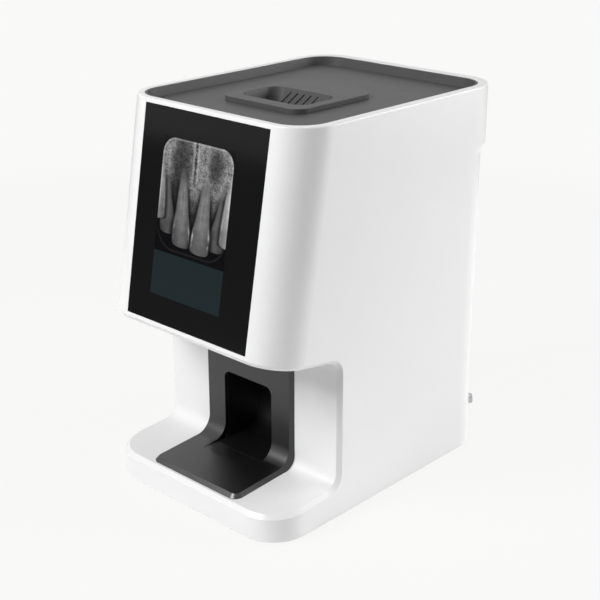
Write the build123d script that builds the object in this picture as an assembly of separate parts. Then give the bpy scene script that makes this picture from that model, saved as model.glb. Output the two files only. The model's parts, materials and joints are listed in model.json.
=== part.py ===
from build123d import *
import math
import os

# Overall size, with the front at -Y and the desk at Z = 0
width = 238.0
depth = 328.0
height = 391.0
foot_height = 2.0

# Housing shell
corner_radius = 39.0
wall = 3.5
front_wall = 5.0
rim_depth = 15.0
rim_width = 8.0
rim_rear_width = 11.5
rim_front_width = 6.5
rim_edge = 1.5
foot_edge = 1.0

# Sloping screen face
tilt = 9.96
face_setback = 37.4
face_length = 214.9

# Rear of the housing: an overhang on top, an inset column and a wider foot
rear_inset = 7.5
foot_inset = 5.5
overhang_height = 59.4
overhang_slope = 6.6
ledge_low = 53.5
ledge_rise = 3.0
loft_split = 100.0

# Pick-up bay between the foot and the head
bay_depth = 87.4
bay_floor_front = 29.5
bay_floor_slope = 3.3
bay_radius = 14.0
mouth_chamfer = 4.0

# Screen glass and display
glass_width = 162.0
glass_length = 202.8
glass_top = 4.2
glass_thickness = 1.8
glass_radius = 1.5
active_width = 94.2
active_length = 150.7
active_x = -4.2
active_centre = 105.0
aperture_margin = 2.0
display_border = 5.0
display_thickness = 4.2
bracket_sheet = 1.5
bracket_flange = 12.0
bracket_length = 96.0
bracket_window = 56.0
display_board_width = 70.0
display_board_length = 30.0
display_board_gap = 4.0

# Top tray and feed funnel
tray_floor_drop = 9.3
tray_floor = 2.7
tray_wall = 2.2
tray_lip_drop = 0.3
tray_draft = 1.2
tray_ledge = 6.0
feed_x = -4.2
pad_half = 52.0
pad_margin = 14.6
pad_length = 107.7
pad_height = 5.1
pad_radius = 14.0
pad_edge = 0.6
recess_half = 41.7
recess_length = 53.0
recess_radius = 14.0
recess_wall = 20.5
recess_draft = 14.0
recess_slope = 12.0
funnel_wall = 2.5
slot_half = 30.0
slot_gap = 6.0
slot_edge = 1.0
slot_neck = 12.0
slit_count = 5
slit_pitch = 8.8
slit_width = 1.5
slit_length = 16.4
slit_depth = 1.0
slit_start = 4.0
slit_lean = 43.0
slit_shift = -2.0

# Dust flap under the feed slot
flap_thickness = 1.2
flap_pin = 1.2
flap_lug = 3.0
flap_drop = 4.0

# Exit chute, with the black front and tray, and the slide behind it
chute_half = 60.5
chute_sheet = 4.0
chute_top_gap = 16.0
tray_front_gap = 6.2
tray_corner = 9.0
tray_bevel = 3.5
window_half = 33.0
window_drop = 35.8
window_radius = 8.0
slide_floor = 36.4
slide_radius = 30.0
slide_reach = 50.6
slide_sheet = 2.5
slide_side = 3.0
slide_nose = 18.4
slide_top_drop = 219.0

# Film transport
path_reach = 37.8
film_gap = 0.4
frame_half = 46.0
frame_sheet = 3.0
frame_front_reach = 21.0
frame_rear_reach = 103.0
frame_top_drop = 51.0
frame_head_drop = 215.0
frame_leg_gap = 5.5
frame_web = 14.0
frame_corner = 6.0
frame_foot = 21.0
frame_foot_sheet = 3.0
tie_rod_radius = 4.0
guide_sheet = 1.5
guide_gap = 1.5
guide_low_drop = 23.0
guide_top_rise = 15.0
guide_flare = 4.0
scan_drop = 121.0
scan_slit = 3.0
eraser_drop = 159.0
eraser_window = 8.0
roller_half = 34.0
drive_radius = 9.0
pinch_radius = 7.0
shaft_radius = 3.0
upper_roller_drop = 73.0
lower_roller_drop = 186.0
bush_radius = 5.0
bush_flange = 7.0
bush_flange_sheet = 1.2
running_gap = 0.05

# Belt drive on the right-hand frame
pulley_radius = 9.5
pulley_flange = 11.5
pulley_flange_sheet = 1.0
pulley_width = 9.0
pulley_teeth = 16
tooth_radius = 0.9
belt_thickness = 1.5
motor_reach = 71.0
motor_drop = 176.0
motor_size = 35.0
motor_length = 34.0
motor_pilot = 11.0
motor_shaft = 2.5
motor_screw_offset = 13.0

# Laser optics and light detector
optics_sheet = 4.0
optics_drop = 16.0
optics_rear_gap = 4.0
optics_front_gap = 23.0
optics_lip = 8.0
polygon_x = 18.0
polygon_reach = 77.0
polygon_radius = 16.0
polygon_thickness = 6.0
polygon_hub = 11.0
polygon_pin = 2.0
polygon_hub_height = 4.0
polygon_plate_width = 32.0
polygon_plate_length = 36.0
polygon_plate_sheet = 2.0
laser_reach = 85.0
laser_barrel = 6.0
laser_length = 34.0
laser_holder_gap = 8.0
laser_holder_length = 20.0
laser_holder_width = 18.0
laser_holder_bevel = 2.0
laser_nozzle = 2.0
laser_tip_x = -8.0
lens_half = 34.0
lens_reach = 42.0
lens_thickness = 8.0
lens_height = 12.0
guide_mouth = 5.0
guide_mouth_rise = 4.0
detector_drop = 91.0
detector_radius = 13.5
detector_length = 54.0
detector_reach = 37.2
shield_half = 18.0
eraser_half = 38.0
eraser_thickness = 6.5
eraser_size = 12.0
lamp_count = 9
lamp_radius = 1.5

# Boards on the outsides of the frames
board_sheet = 1.6
board_gap = 13.0
board_low = 30.0
board_top_drop = 226.0
board_rows = 9
board_inset = 2.0
main_board_length = 120.0
power_board_length = 94.0
sink_fins = 7
sink_fin = 2.0
sink_pitch = 5.0
sink_height = 34.0
sink_reach = 12.0
sink_base = 3.0
sink_place = 30.0
chip_place = 76.0
chip_size = 24.0
chip_thickness = 2.0
connector_length = 28.0
connector_height = 12.0
connector_reach = 8.0
transformer_place = 12.0
transformer_size = 34.0
transformer_reach = 24.0
coil_place = 56.0
coil_length = 28.0
coil_height = 20.0
coil_reach = 10.0
capacitor_count = 3
capacitor_pitch = 24.0
capacitor_radius = 8.0
capacitor_reach = 26.0
power_fins = 4
power_fin = 3.0
power_fin_place = 54.0
power_fin_pitch = 9.0
power_fin_height = 32.0
power_fin_reach = 18.0
power_fin_base = 3.0
standoff_radius = 3.0

# Rear cover, fan and sockets
cover_half = 75.0
cover_low = 60.0
cover_top_drop = 91.0
cover_sheet = 2.0
cover_rebate = 7.0
cover_corner = 6.0
cover_rib = 2.0
cover_rib_height = 4.0
cover_rib_gap = 16.0
lower_vents = 4
lower_vent_rise = 62.0
lower_vent_side = 22.0
vent_count = 9
vent_pitch = 6.5
vent_width = 3.0
fan_size = 60.0
fan_thickness = 15.0
fan_drop = 161.0
fan_bore = 28.0
fan_hub = 12.0
fan_pin = 2.0
fan_corner = 5.0
fan_strut = 3.0
fan_struts = 3
fan_floor = 2.0
fan_end_gap = 5.0
fan_blades = 7
fan_blade = 1.2
fan_root_pitch = 50.0
fan_tip_pitch = 32.0
fan_tip_gap = 1.0
fan_screw_offset = 25.0
socket_height = 88.0
inlet_x = 42.0
inlet_width = 27.0
inlet_size = 20.0
inlet_depth = 20.0
inlet_bevel = 3.0
inlet_flange = 2.0
inlet_wall = 1.8
inlet_well = 15.0
inlet_pin = 2.0
inlet_pin_height = 4.0
inlet_pin_side = 7.0
inlet_pin_low = 1.0
inlet_pin_high = 3.0
network_x = 0.0
network_width = 16.0
network_size = 13.5
usb_x = -28.0
usb_width = 12.0
usb_size = 11.0
port_depth = 17.0
port_setback = 0.4
port_wall = 1.8
port_roof = 2.2
port_well = 10.0
port_tongue = 2.0
port_board_margin = 12.0
port_board_width = 56.0
port_board_low = 12.0
port_board_high = 24.0
port_post = 3.5
port_post_rise = 18.0
port_post_side = 5.0

# Power button at the rear right corner
button_angle = 53.0
button_height = 44.0
button_radius = 5.5
button_edge = 1.0
button_proud = 5.5
button_travel = 1.5
button_flange = 7.0
button_flange_sheet = 1.5
button_gap = 0.25
scoop_depth = 1.8
scoop_radius = 30.0
switch_wall = 2.0
switch_length = 12.0
switch_tab = 4.0
switch_tab_side = 4.0

# Base plate, feet and screws
base_sheet = 3.0
foot_radius = 9.0
foot_recess = 1.0
foot_x = 88.0
foot_front_gap = 28.0
foot_rear_gap = 34.0
base_vents = 8
base_vent_pitch = 9.0
base_vent_half = 30.0
base_vent_width = 4.0
base_vent_shift = 20.0
screw_radius = 1.5
screw_head = 3.0
screw_head_height = 1.7
boss_radius = 5.0
boss_height = 28.0

# Clearances
fit = 0.3
close_fit = 0.1
screw_gap = 0.1
pocket_gap = 0.2

# Places that follow from the sizes
front_y = -depth / 2
rear_y = depth / 2
inset_y = rear_y - rear_inset
foot_y = rear_y - foot_inset
face_top_y = front_y + face_setback
slope = math.tan(math.radians(tilt))
overhang_z = height - overhang_height
inset_top_z = overhang_z - overhang_slope
ledge_top = ledge_low + ledge_rise
rim_z = height - rim_depth
bay_back = front_y + bay_depth
inner_back = bay_back + wall
face_low = (face_top_y - face_length * math.sin(math.radians(tilt)),
            height - face_length * math.cos(math.radians(tilt)))
tray_floor_z = height - tray_floor_drop
tray_low_z = tray_floor_z - tray_floor
pad_z = tray_floor_z + pad_height
path_y = bay_back + path_reach
recess_front = path_y - slot_gap / 2 - slot_edge
recess_rear = recess_front + recess_length
pad_front = recess_front - pad_margin
pad_rear = pad_front + pad_length
ceiling_back = face_low[1] - (bay_back - face_low[0]) * slope
window_top = ceiling_back - chute_top_gap - window_drop
slide_height = height - slide_top_drop
frame_head_low = height - frame_head_drop
scan_height = height - scan_drop
eraser_height = height - eraser_drop
upper_roller_height = height - upper_roller_drop
lower_roller_height = height - lower_roller_drop
guide_low = lower_roller_height - guide_low_drop
guide_high = upper_roller_height + guide_top_rise
motor_height = height - motor_drop
detector_height = height - detector_drop
board_high = height - board_top_drop
board_row = (board_high - board_low) / board_rows
cover_high = height - cover_top_drop
fan_height = height - fan_drop
slide_back = bay_back + slide_reach
tray_front = front_y + tray_front_gap
base_top = foot_height + base_sheet
frame_front = path_y - frame_front_reach
frame_rear = path_y + frame_rear_reach
frame_top = height - frame_top_drop
frame_leg = slide_back + slide_sheet + frame_leg_gap
frame_out = frame_half + frame_sheet
drive_y = path_y + film_gap / 2 + drive_radius
pinch_y = path_y - film_gap / 2 - pinch_radius
motor_y = path_y + motor_reach
optics_z = scan_height - optics_drop
polygon_y = path_y + polygon_reach
laser_y = path_y + laser_reach
lens_y = path_y + lens_reach
detector_y = path_y + detector_reach
pulley_x = frame_out + bush_flange_sheet + 0.8
board_x = frame_out + board_gap
cover_in = inset_y - cover_sheet
wall_depth = front_wall * math.cos(math.radians(tilt))
glass_pocket = glass_thickness + close_fit
wall_draft = math.tan(math.radians(recess_draft))
floor_drop = math.tan(math.radians(recess_slope))
low = (Align.CENTER, Align.CENTER, Align.MIN)


# A box between three pairs of limits
def block(x, y, z):
    middle = [(pair[0] + pair[1]) / 2 for pair in (x, y, z)]
    return Pos(*middle) * Box(x[1] - x[0], y[1] - y[0], z[1] - z[0])


# A round bar from a start point along a direction
def rod(start, direction, radius, length):
    return Plane(origin=start, z_dir=direction) * Cylinder(radius, length, align=low)


# A closed outline in Y and Z, pushed out to both sides along X
def side_profile(points, half):
    return extrude(Plane.YZ * make_face(Polyline(points, close=True)), half, both=True)


# A rounded plan outline between a front and a rear, at one height
def outline(front, rear, half, radius, z):
    return Pos(0, (front + rear) / 2, z) * RectangleRounded(2 * half, rear - front, radius)


def face_y(z):
    return face_top_y - (height - z) * slope


# The housing's outer form, or its hollow when it is drawn in by a wall
def body(inset, inset_front, z_low, z_high):
    levels = [(z_low, front_y + inset, foot_y - inset),
              (ledge_low, front_y + inset, foot_y - inset),
              (ledge_top, front_y + inset, inset_y - inset),
              (loft_split, front_y + inset, inset_y - inset),
              (loft_split + 1, face_y(loft_split + 1) + inset_front, inset_y - inset),
              (inset_top_z, face_y(inset_top_z) + inset_front, inset_y - inset),
              (overhang_z, face_y(overhang_z) + inset_front, rear_y - inset),
              (z_high, face_y(z_high) + inset_front, rear_y - inset)]
    half = width / 2 - inset
    radius = corner_radius - inset
    return loft([outline(f, r, half, radius, z) for z, f, r in levels], ruled=True)


def bay_floor(y):
    return bay_floor_front + (y - front_y) * math.tan(math.radians(bay_floor_slope))


def bay_ceiling(y):
    return face_low[1] - (y - face_low[0]) * slope


# The bay's space, grown or drawn in at the floor, the back and the ceiling
def bay(floor_grow, back_grow, ceiling_grow, half):
    front = front_y - depth / 4
    back = bay_back + back_grow
    points = [(front, bay_floor(front) - floor_grow), (back, bay_floor(back) - floor_grow),
              (back, bay_ceiling(back) + ceiling_grow), (front, bay_ceiling(front) + ceiling_grow)]
    face = make_face(Polyline(points, close=True))
    rear_corners = face.vertices().sort_by(Axis.X)[-2:]
    face = fillet(rear_corners, bay_radius - back_grow)
    return extrude(Plane.YZ * face, half, both=True)


# A box laid on the sloping face: across, down from its top edge, and inwards
face_plane = Plane(origin=(0, face_top_y, height), x_dir=(1, 0, 0),
                   z_dir=(0, -math.cos(math.radians(tilt)), math.sin(math.radians(tilt))))


def on_face(across, down, inward):
    return face_plane * block(across, (-down[1], -down[0]), (-inward[1], -inward[0]))


def face_rod(x, down, inward, radius, length):
    return face_plane * Pos(x, -down, -inward - length) * Cylinder(radius, length, align=low)


# Screw places
base_screw_places = [(x * (width / 2 - wall - 4), 20.0) for x in (-1, 1)]
base_screw_places += [(x * (width / 2 - 23), front_y + 48) for x in (-1, 1)]
base_screw_places += [(x * width / 4, foot_y - wall - 4.5) for x in (-1, 1)]
cover_edge = cover_rebate / 2
cover_screw_places = [(x * (cover_half - cover_edge), z) for x in (-1, 1)
                      for z in (cover_low + cover_edge, cover_high - cover_edge)]
fan_screw_places = [(x * fan_screw_offset, fan_height + z * fan_screw_offset)
                    for x in (-1, 1) for z in (-1, 1)]
foot_screw_places = [(x * (frame_out + frame_foot / 2), y) for x in (-1, 1)
                     for y in (frame_leg + 12, frame_rear - 12)]
bracket_half = active_width / 2 + display_border + fit + bracket_sheet
bracket_screw_places = [(active_x + x * (bracket_half + bracket_flange / 2),
                         active_centre + s * (bracket_length / 2 - 10))
                        for x in (-1, 1) for s in (-1, 1)]
motor_screw_places = [(motor_y + y * motor_screw_offset, motor_height + z * motor_screw_offset)
                      for y in (-1, 1) for z in (-1, 1)]
feet_places = [(x * foot_x, y) for x in (-1, 1)
               for y in (front_y + foot_front_gap, rear_y - foot_rear_gap)]


# Screws with a round head, the head standing on a surface and the shank going in
def screw(place, outward, shank):
    inward = tuple(-value for value in outward)
    return rod(place, outward, screw_head, screw_head_height) + rod(place, inward, screw_radius, shank)


def screw_hole(place, inward, length):
    return rod(place, inward, screw_radius + screw_gap, length)


# Power button places, on a line out of the rear right corner
button_turn = math.radians(button_angle)
button_out = (math.cos(button_turn), math.sin(button_turn), 0)
corner_x = width / 2 - corner_radius
corner_y = foot_y - corner_radius


def button_point(reach):
    return (corner_x + reach * button_out[0], corner_y + reach * button_out[1], button_height)


button_seat = math.sqrt((corner_radius - wall) ** 2 - button_flange ** 2) - 0.2
switch_floor = button_seat - button_flange_sheet - button_travel - 0.2


def make_housing():
    shell = body(0, 0, foot_height, height) - bay(0, 0, 0, width)
    mouth = []
    for edge in shell.edges():
        place = edge.center()
        inside = bay_floor(place.Y) - 1 < place.Z < bay_ceiling(place.Y) + 1
        at_back = abs(place.X) < 1 and place.Y > front_y + bay_depth / 2
        if inside and place.Y < bay_back + 1 and not at_back:
            mouth.append(edge)
    shell = chamfer(mouth, mouth_chamfer)
    shell = fillet(shell.faces().sort_by(Axis.Z)[-1].outer_wire().edges(), rim_edge)
    shell = fillet(shell.faces().sort_by(Axis.Z)[0].outer_wire().edges(), foot_edge)
    hollow = body(wall, front_wall, foot_height - 5, rim_z) - bay(wall, wall, wall, width)
    shell -= hollow
    return shell + housing_bosses() - housing_cuts()


def housing_bosses():
    bosses = []
    for x, y in base_screw_places:
        top = bay_floor(y) - wall / 2 if y < bay_back else base_top + boss_height
        bosses.append(rod((x, y, base_top), (0, 0, 1), boss_radius, top - base_top))
    for x, z in cover_screw_places:
        bosses.append(rod((x, inset_y - wall + 0.5, z), (0, -1, 0), boss_radius - 1, 8))
    return bosses


def housing_cuts():
    cuts = []
    # Opening in the top with a ledge that carries the tray
    front, rear = tray_limits()
    half = width / 2 - rim_width
    radius = corner_radius - rim_width
    cuts.append(extrude(outline(front, rear, half, radius, tray_low_z), rim_depth + 1))
    cuts.append(extrude(outline(front + tray_ledge, rear - tray_ledge, half - tray_ledge,
                                radius - tray_ledge, rim_z - 1), rim_depth))
    # Glass pocket and the display's aperture
    cuts.append(on_face((-glass_width / 2 - pocket_gap, glass_width / 2 + pocket_gap),
                        (glass_top - pocket_gap, glass_top + glass_length + pocket_gap),
                        (-1, glass_pocket)))
    half_x = active_width / 2 + aperture_margin
    half_s = active_length / 2 + aperture_margin
    cuts.append(on_face((active_x - half_x, active_x + half_x),
                        (active_centre - half_s, active_centre + half_s), (0, wall_depth + 2)))
    for x, down in bracket_screw_places:
        cuts.append(face_rod(x, down, glass_pocket + 0.4, screw_radius + screw_gap, wall_depth))
    # Opening for the chute in the back wall and floor of the bay
    opening = window_half + slide_side + 2 * close_fit
    cuts.append(block((-opening, opening), (bay_back - slide_nose - fit, inner_back + 1),
                      (bay_floor_front - wall, window_top + slide_sheet)))
    # Rear opening with its rebate
    ledge = cover_rebate
    through = block((-cover_half + ledge, cover_half - ledge), (inset_y - wall - 9, inset_y + 1),
                    (cover_low + ledge, cover_high - ledge))
    through = fillet(through.edges().filter_by(Axis.Y), cover_corner)
    rebate = block((-cover_half - pocket_gap, cover_half + pocket_gap), (cover_in, inset_y + 1),
                   (cover_low - pocket_gap, cover_high + pocket_gap))
    rebate = fillet(rebate.edges().filter_by(Axis.Y), cover_corner + pocket_gap)
    cuts += [through, rebate]
    for x, z in cover_screw_places:
        cuts.append(screw_hole((x, inset_y, z), (0, -1, 0), 9))
    for x, y in base_screw_places:
        cuts.append(screw_hole((x, y, foot_height), (0, 0, 1), 14))
    # Power button bore in a dished scoop
    cuts.append(rod(button_point(corner_radius - 2 * wall), button_out, button_radius + button_gap,
                    4 * wall))
    centre = button_point(corner_radius - scoop_depth + scoop_radius)
    cuts.append(Pos(*centre) * Sphere(scoop_radius))
    return cuts


def tray_limits():
    return face_top_y + rim_front_width, rear_y - rim_rear_width


def make_top_tray():
    front, rear = tray_limits()
    half = width / 2 - rim_width
    radius = corner_radius - rim_width
    top = height - tray_lip_drop
    tray = extrude(outline(front + fit, rear - fit, half - fit, radius - fit, tray_low_z),
                   top - tray_low_z)
    levels = []
    for inset, z in ((tray_wall + tray_draft, tray_floor_z), (tray_wall, top)):
        levels.append(outline(front + inset, rear - inset, half - inset, radius - inset, z))
    tray -= loft(levels, ruled=True)
    return tray - recess_form(funnel_wall + fit, tray_low_z - 1, tray_floor_z + 1)


# The recess between two heights, narrower lower down, grown outside its wall
def recess_form(grow, z_low, z_high):
    levels = []
    for z in (z_low, z_high):
        inset = (pad_z - z) * wall_draft - grow
        level = outline(recess_front - grow, recess_rear - inset, recess_half - inset,
                        recess_radius - inset, z)
        levels.append(Pos(feed_x, 0, 0) * level)
    return loft(levels, ruled=True)


# Height of the sloping floor that leads a plate to the slot
def recess_floor(y):
    return pad_z - recess_wall - (recess_rear - y) * floor_drop


# The space over the sloping floor, moved down by a drop
def over_slope(drop):
    front = pad_front
    rear = pad_rear
    points = [(front, recess_floor(front) - drop), (rear, recess_floor(rear) - drop),
              (rear, pad_z + depth), (front, pad_z + depth)]
    return side_profile(points, width / 2)


def make_feed_funnel():
    pad = outline(pad_front, pad_rear, pad_half, pad_radius, tray_floor_z)
    pad = extrude(Pos(feed_x, 0, 0) * pad, pad_height)
    pad = fillet(pad.faces().sort_by(Axis.Z)[-1].edges(), pad_edge)
    lowest = recess_floor(recess_front) - 2 * funnel_wall
    basin = recess_form(funnel_wall, lowest, tray_floor_z)
    basin &= over_slope(funnel_wall / math.cos(math.radians(recess_slope)))
    neck_low = recess_floor(path_y) - slot_neck
    neck_x = slot_half + funnel_wall
    neck_y = (path_y - slot_gap / 2 - funnel_wall, path_y + slot_gap / 2 + funnel_wall)
    neck = block((-neck_x, neck_x), neck_y, (neck_low, recess_floor(path_y)))
    funnel = pad + basin + neck
    for side in (-1, 1):
        lug = block(sorted((side * (slot_half + close_fit), side * (neck_x + 1))),
                    (flap_place()[0] - flap_lug, flap_place()[0] + flap_lug),
                    (neck_low - flap_drop, neck_low + 2))
        funnel += lug
    funnel -= recess_form(0, lowest, pad_z + 1) & over_slope(0)
    funnel -= block((-slot_half, slot_half), (path_y - slot_gap / 2, path_y + slot_gap / 2),
                    (neck_low - 1, recess_floor(path_y) + 1))
    for index in range(slit_count):
        funnel -= wall_slit(feed_x + slit_shift + (index - (slit_count - 1) / 2) * slit_pitch)
    pin_y, pin_z = flap_place()
    funnel -= rod((-neck_x - 2, pin_y, pin_z), (1, 0, 0), flap_pin + running_gap, 2 * neck_x + 4)
    return funnel


# A shallow slit in the recess's steep rear wall, leaning across it from its upper end
def wall_slit(x):
    draft = math.radians(recess_draft)
    lean = math.radians(slit_lean)
    plane = Plane(origin=(x, recess_rear, pad_z), x_dir=(1, 0, 0),
                  z_dir=(0, -math.cos(draft), math.sin(draft)))
    middle = Pos(-slit_length / 2 * math.sin(lean), -slit_start - slit_length / 2 * math.cos(lean), 0)
    return plane * middle * Rot(0, 0, -slit_lean) * Box(slit_width, slit_length, 2 * slit_depth)


# Hinge line of the flap, just behind the slot and under the neck
def flap_place():
    neck_low = recess_floor(path_y) - slot_neck
    return path_y + slot_gap / 2 + flap_pin + 0.4, neck_low - flap_pin - 0.5


def make_feed_flap():
    pin_y, pin_z = flap_place()
    reach = pin_y - (path_y - slot_gap / 2) + 0.5
    half = slot_half - fit
    leaf = block((-half, half), (pin_y - reach, pin_y), (pin_z, pin_z + flap_thickness))
    pin = rod((-slot_half - funnel_wall - 1, pin_y, pin_z), (1, 0, 0), flap_pin,
              2 * (slot_half + funnel_wall + 1))
    return leaf + pin


def make_display_glass():
    pane = on_face((-glass_width / 2, glass_width / 2), (glass_top, glass_top + glass_length),
                   (0, glass_thickness))
    short = [edge for edge in pane.edges() if abs(edge.length - glass_thickness) < 0.01]
    return fillet(short, glass_radius)


# Depth below the face at which the display's parts start
display_start = wall_depth + close_fit
display_back = display_start + display_thickness


def make_display_module():
    half_x = active_width / 2 + display_border
    half_s = active_length / 2 + display_border
    frame = on_face((active_x - half_x, active_x + half_x),
                    (active_centre - half_s, active_centre + half_s), (display_start, display_back))
    step_x = active_width / 2 + aperture_margin - fit
    step_s = active_length / 2 + aperture_margin - fit
    step = on_face((active_x - step_x, active_x + step_x),
                   (active_centre - step_s, active_centre + step_s),
                   (glass_pocket + close_fit, display_start))
    return frame + step


# A hat section behind the display, with flanges on the front wall
def make_display_bracket():
    span = (active_centre - bracket_length / 2, active_centre + bracket_length / 2)
    back = display_back + close_fit
    bracket = on_face((active_x - bracket_half, active_x + bracket_half), span,
                      (back, back + bracket_sheet))
    for side in (-1, 1):
        inner = active_x + side * (bracket_half - bracket_sheet)
        outer = active_x + side * bracket_half
        edge = outer + side * bracket_flange
        bracket += on_face(sorted((inner, outer)), span, (display_start, back + bracket_sheet))
        bracket += on_face(sorted((inner, edge)), span, (display_start, display_start + bracket_sheet))
    window = bracket_window / 2
    bracket -= on_face((active_x - window, active_x + window),
                       (active_centre - window / 2, active_centre + bracket_length / 2 - 8),
                       (back - 1, back + bracket_sheet + 1))
    for x, down in bracket_screw_places:
        bracket -= face_rod(x, down, 0, screw_radius + screw_gap, 2 * display_back)
    return bracket


def make_display_board():
    start = display_back + close_fit + bracket_sheet + close_fit
    top = active_centre - bracket_length / 2 + 1
    half = display_board_width / 2
    board = on_face((active_x - half, active_x + half), (top, top + display_board_length),
                    (start + display_board_gap, start + display_board_gap + board_sheet))
    for x in (active_x - half + 6, active_x + half - 6):
        board += face_rod(x, top + 6, start, standoff_radius - 0.5, display_board_gap)
    outer = start + display_board_gap + board_sheet
    board += on_face((active_x - 12, active_x + 12), (top + 8, top + 24), (outer, outer + 2))
    board += on_face((active_x + 18, active_x + 30), (top + 4, top + 12), (outer, outer + 4))
    return board


# Black sheet that lines the bay's back wall, bend and floor
def make_exit_chute():
    top = bay_ceiling(bay_back) - chute_top_gap
    keep = block((-chute_half, chute_half), (tray_front, bay_back), (0, top))
    tip = keep.edges().filter_by(Axis.Z).sort_by(Axis.Y)[:2]
    keep = fillet(tip, tray_corner)
    room = bay(-chute_sheet, -chute_sheet, depth, width)
    sheet = (bay(0, 0, 0, chute_half) - room) & keep
    rim = []
    for edge in sheet.edges():
        middle = edge @ 0.5
        at_side = abs(middle.X) > 1 or middle.Y < tray_front + 1
        if at_side and room.distance_to(Vertex(middle.X, middle.Y, middle.Z)) < 0.01:
            rim.append(edge)
    sheet = chamfer(rim, tray_bevel)
    window = block((-window_half, window_half), (bay_back - slide_nose - 30, bay_back + 1),
                   (slide_floor, window_top))
    upper = window.edges().filter_by(Axis.Y).sort_by(Axis.Z)[-2:]
    window = fillet(upper, window_radius)
    sheet -= window
    sheet -= block((-window_half, window_half), (bay_back - slide_nose, bay_back + 1),
                   (0, slide_floor + 1))
    return sheet


# Curved slide that turns a falling plate forward, in a duct that is open at its top
def make_chute_slide():
    front_top = inner_back + fit
    half = window_half + slide_side
    outside = slide_profile(slide_sheet, bay_back + fit, front_top, slide_height)
    duct = extrude(Plane.YZ * outside, half, both=True)
    inside = slide_profile(0, bay_back - slide_nose, front_top + slide_sheet, slide_height + 1)
    duct -= extrude(Plane.YZ * inside, window_half, both=True)
    nose = block((close_fit - window_half, window_half - close_fit),
                 (bay_back - slide_nose + close_fit, bay_back + 2),
                 (slide_floor - slide_sheet, slide_floor))
    return duct + nose


# Side view of the duct's space, a sheet's thickness outside its running surface
def slide_profile(out, front_low, front_top, top):
    centre_y = slide_back - slide_radius
    centre_z = slide_floor + slide_radius
    radius = slide_radius + out
    turn = radius * math.sqrt(0.5)
    low_z = slide_floor - out
    step_z = window_top + fit
    back = slide_back + out
    edges = [Line((front_low, low_z), (centre_y, low_z)),
             ThreePointArc((centre_y, low_z), (centre_y + turn, centre_z - turn), (back, centre_z)),
             Polyline((back, centre_z), (back, top), (front_top, top), (front_top, step_z),
                      (front_low, step_z), (front_low, low_z))]
    return make_face(Curve() + edges)


# Side frame of the transport, standing on the base plate
def make_frame(side):
    points = [(frame_front, frame_head_low), (frame_front, frame_top), (frame_rear, frame_top),
              (frame_rear, base_top), (frame_leg, base_top), (frame_leg, frame_head_low)]
    face = make_face(Polyline(points, close=True))
    upper = [v for v in face.vertices() if v.Y > frame_head_low - 1]
    face = fillet(upper, frame_corner)
    start = frame_half if side > 0 else -frame_out
    frame = extrude(Plane.YZ.offset(start) * face, frame_sheet)
    foot = sorted((side * frame_half, side * (frame_out + frame_foot)))
    frame += block(foot, (frame_leg, frame_rear), (base_top, base_top + frame_foot_sheet))
    window = block((-width, width), (frame_leg + frame_web, frame_rear - frame_web),
                   (base_top + 2 * frame_web, frame_head_low - 1.5 * frame_web))
    frame -= fillet(window.edges().filter_by(Axis.X), frame_corner)
    for y, z in roller_places():
        frame -= rod((-width, y, z), (1, 0, 0), bush_radius, 2 * width)
    for x, y in foot_screw_places:
        frame -= screw_hole((x, y, base_top), (0, 0, 1), 2 * frame_foot_sheet)
    if side > 0:
        frame -= rod((0, motor_y, motor_height), (1, 0, 0), motor_pilot + close_fit, width)
        for y, z in motor_screw_places:
            frame -= screw_hole((0, y, z), (1, 0, 0), width)
    return frame


def roller_places():
    return [(drive_y, upper_roller_height), (drive_y, lower_roller_height),
            (pinch_y, upper_roller_height), (pinch_y, lower_roller_height)]


def make_bushes():
    bushes = []
    for y, z in roller_places():
        for side in (-1, 1):
            start = (side * frame_half, y, z)
            out = (side, 0, 0)
            bush = rod(start, out, bush_radius - 0.02, frame_sheet)
            bush += rod((side * frame_out, y, z), out, bush_flange, bush_flange_sheet)
            bushes.append(bush - rod(start, out, shaft_radius + running_gap, 2 * frame_sheet))
    return bushes


def make_tie_rods():
    rear = frame_rear - 2 * tie_rod_radius
    low_z = base_top + 18
    places = [(frame_front + tie_rod_radius + 3, scan_height - 8), (rear, frame_top - 10),
              (rear, frame_head_low + 4), (rear, low_z), (frame_leg + 7, low_z)]
    length = 2 * (frame_half - close_fit)
    return [rod((-length / 2, y, z), (1, 0, 0), tie_rod_radius, length) for y, z in places]


# A guide plate in front of the film path or behind it, flared at its top
def make_guide_plate(side):
    near = path_y + side * guide_gap
    far = near + side * guide_sheet
    flare = side * guide_flare
    bend = guide_high - 1.5 * guide_flare
    points = [(near, guide_low), (near, bend), (near + flare, guide_high),
              (far + flare, guide_high), (far, bend), (far, guide_low)]
    plate = side_profile(points, frame_half - close_fit)
    radius = drive_radius if side > 0 else pinch_radius
    window_y = sorted((near - side, far + side))
    for z in (upper_roller_height, lower_roller_height):
        plate -= block((-roller_half - 2, roller_half + 2), window_y, (z - radius, z + radius))
    if side > 0:
        slit = scan_slit / 2
        plate -= block((-roller_half, roller_half), window_y, (scan_height - slit, scan_height + slit))
        mouth = scan_height + guide_mouth_rise
        plate -= block((-roller_half, roller_half), window_y, (mouth, mouth + guide_mouth))
        plate -= block((-roller_half, roller_half), window_y,
                       (eraser_height - eraser_window / 2, eraser_height + eraser_window / 2))
    return plate


# A rubber-banded drive roller, its shaft reaching through the pulley
def make_drive_roller(z):
    left = -frame_out - 2.5
    right = pulley_x + pulley_width
    roller = rod((left, drive_y, z), (1, 0, 0), shaft_radius, right - left)
    roller += rod((-roller_half, drive_y, z), (1, 0, 0), drive_radius - 1.2, 2 * roller_half)
    band = 2 * roller_half / 5
    for index in (0, 2, 4):
        start = -roller_half + index * band
        roller += rod((start, drive_y, z), (1, 0, 0), drive_radius, band)
    return roller


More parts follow.
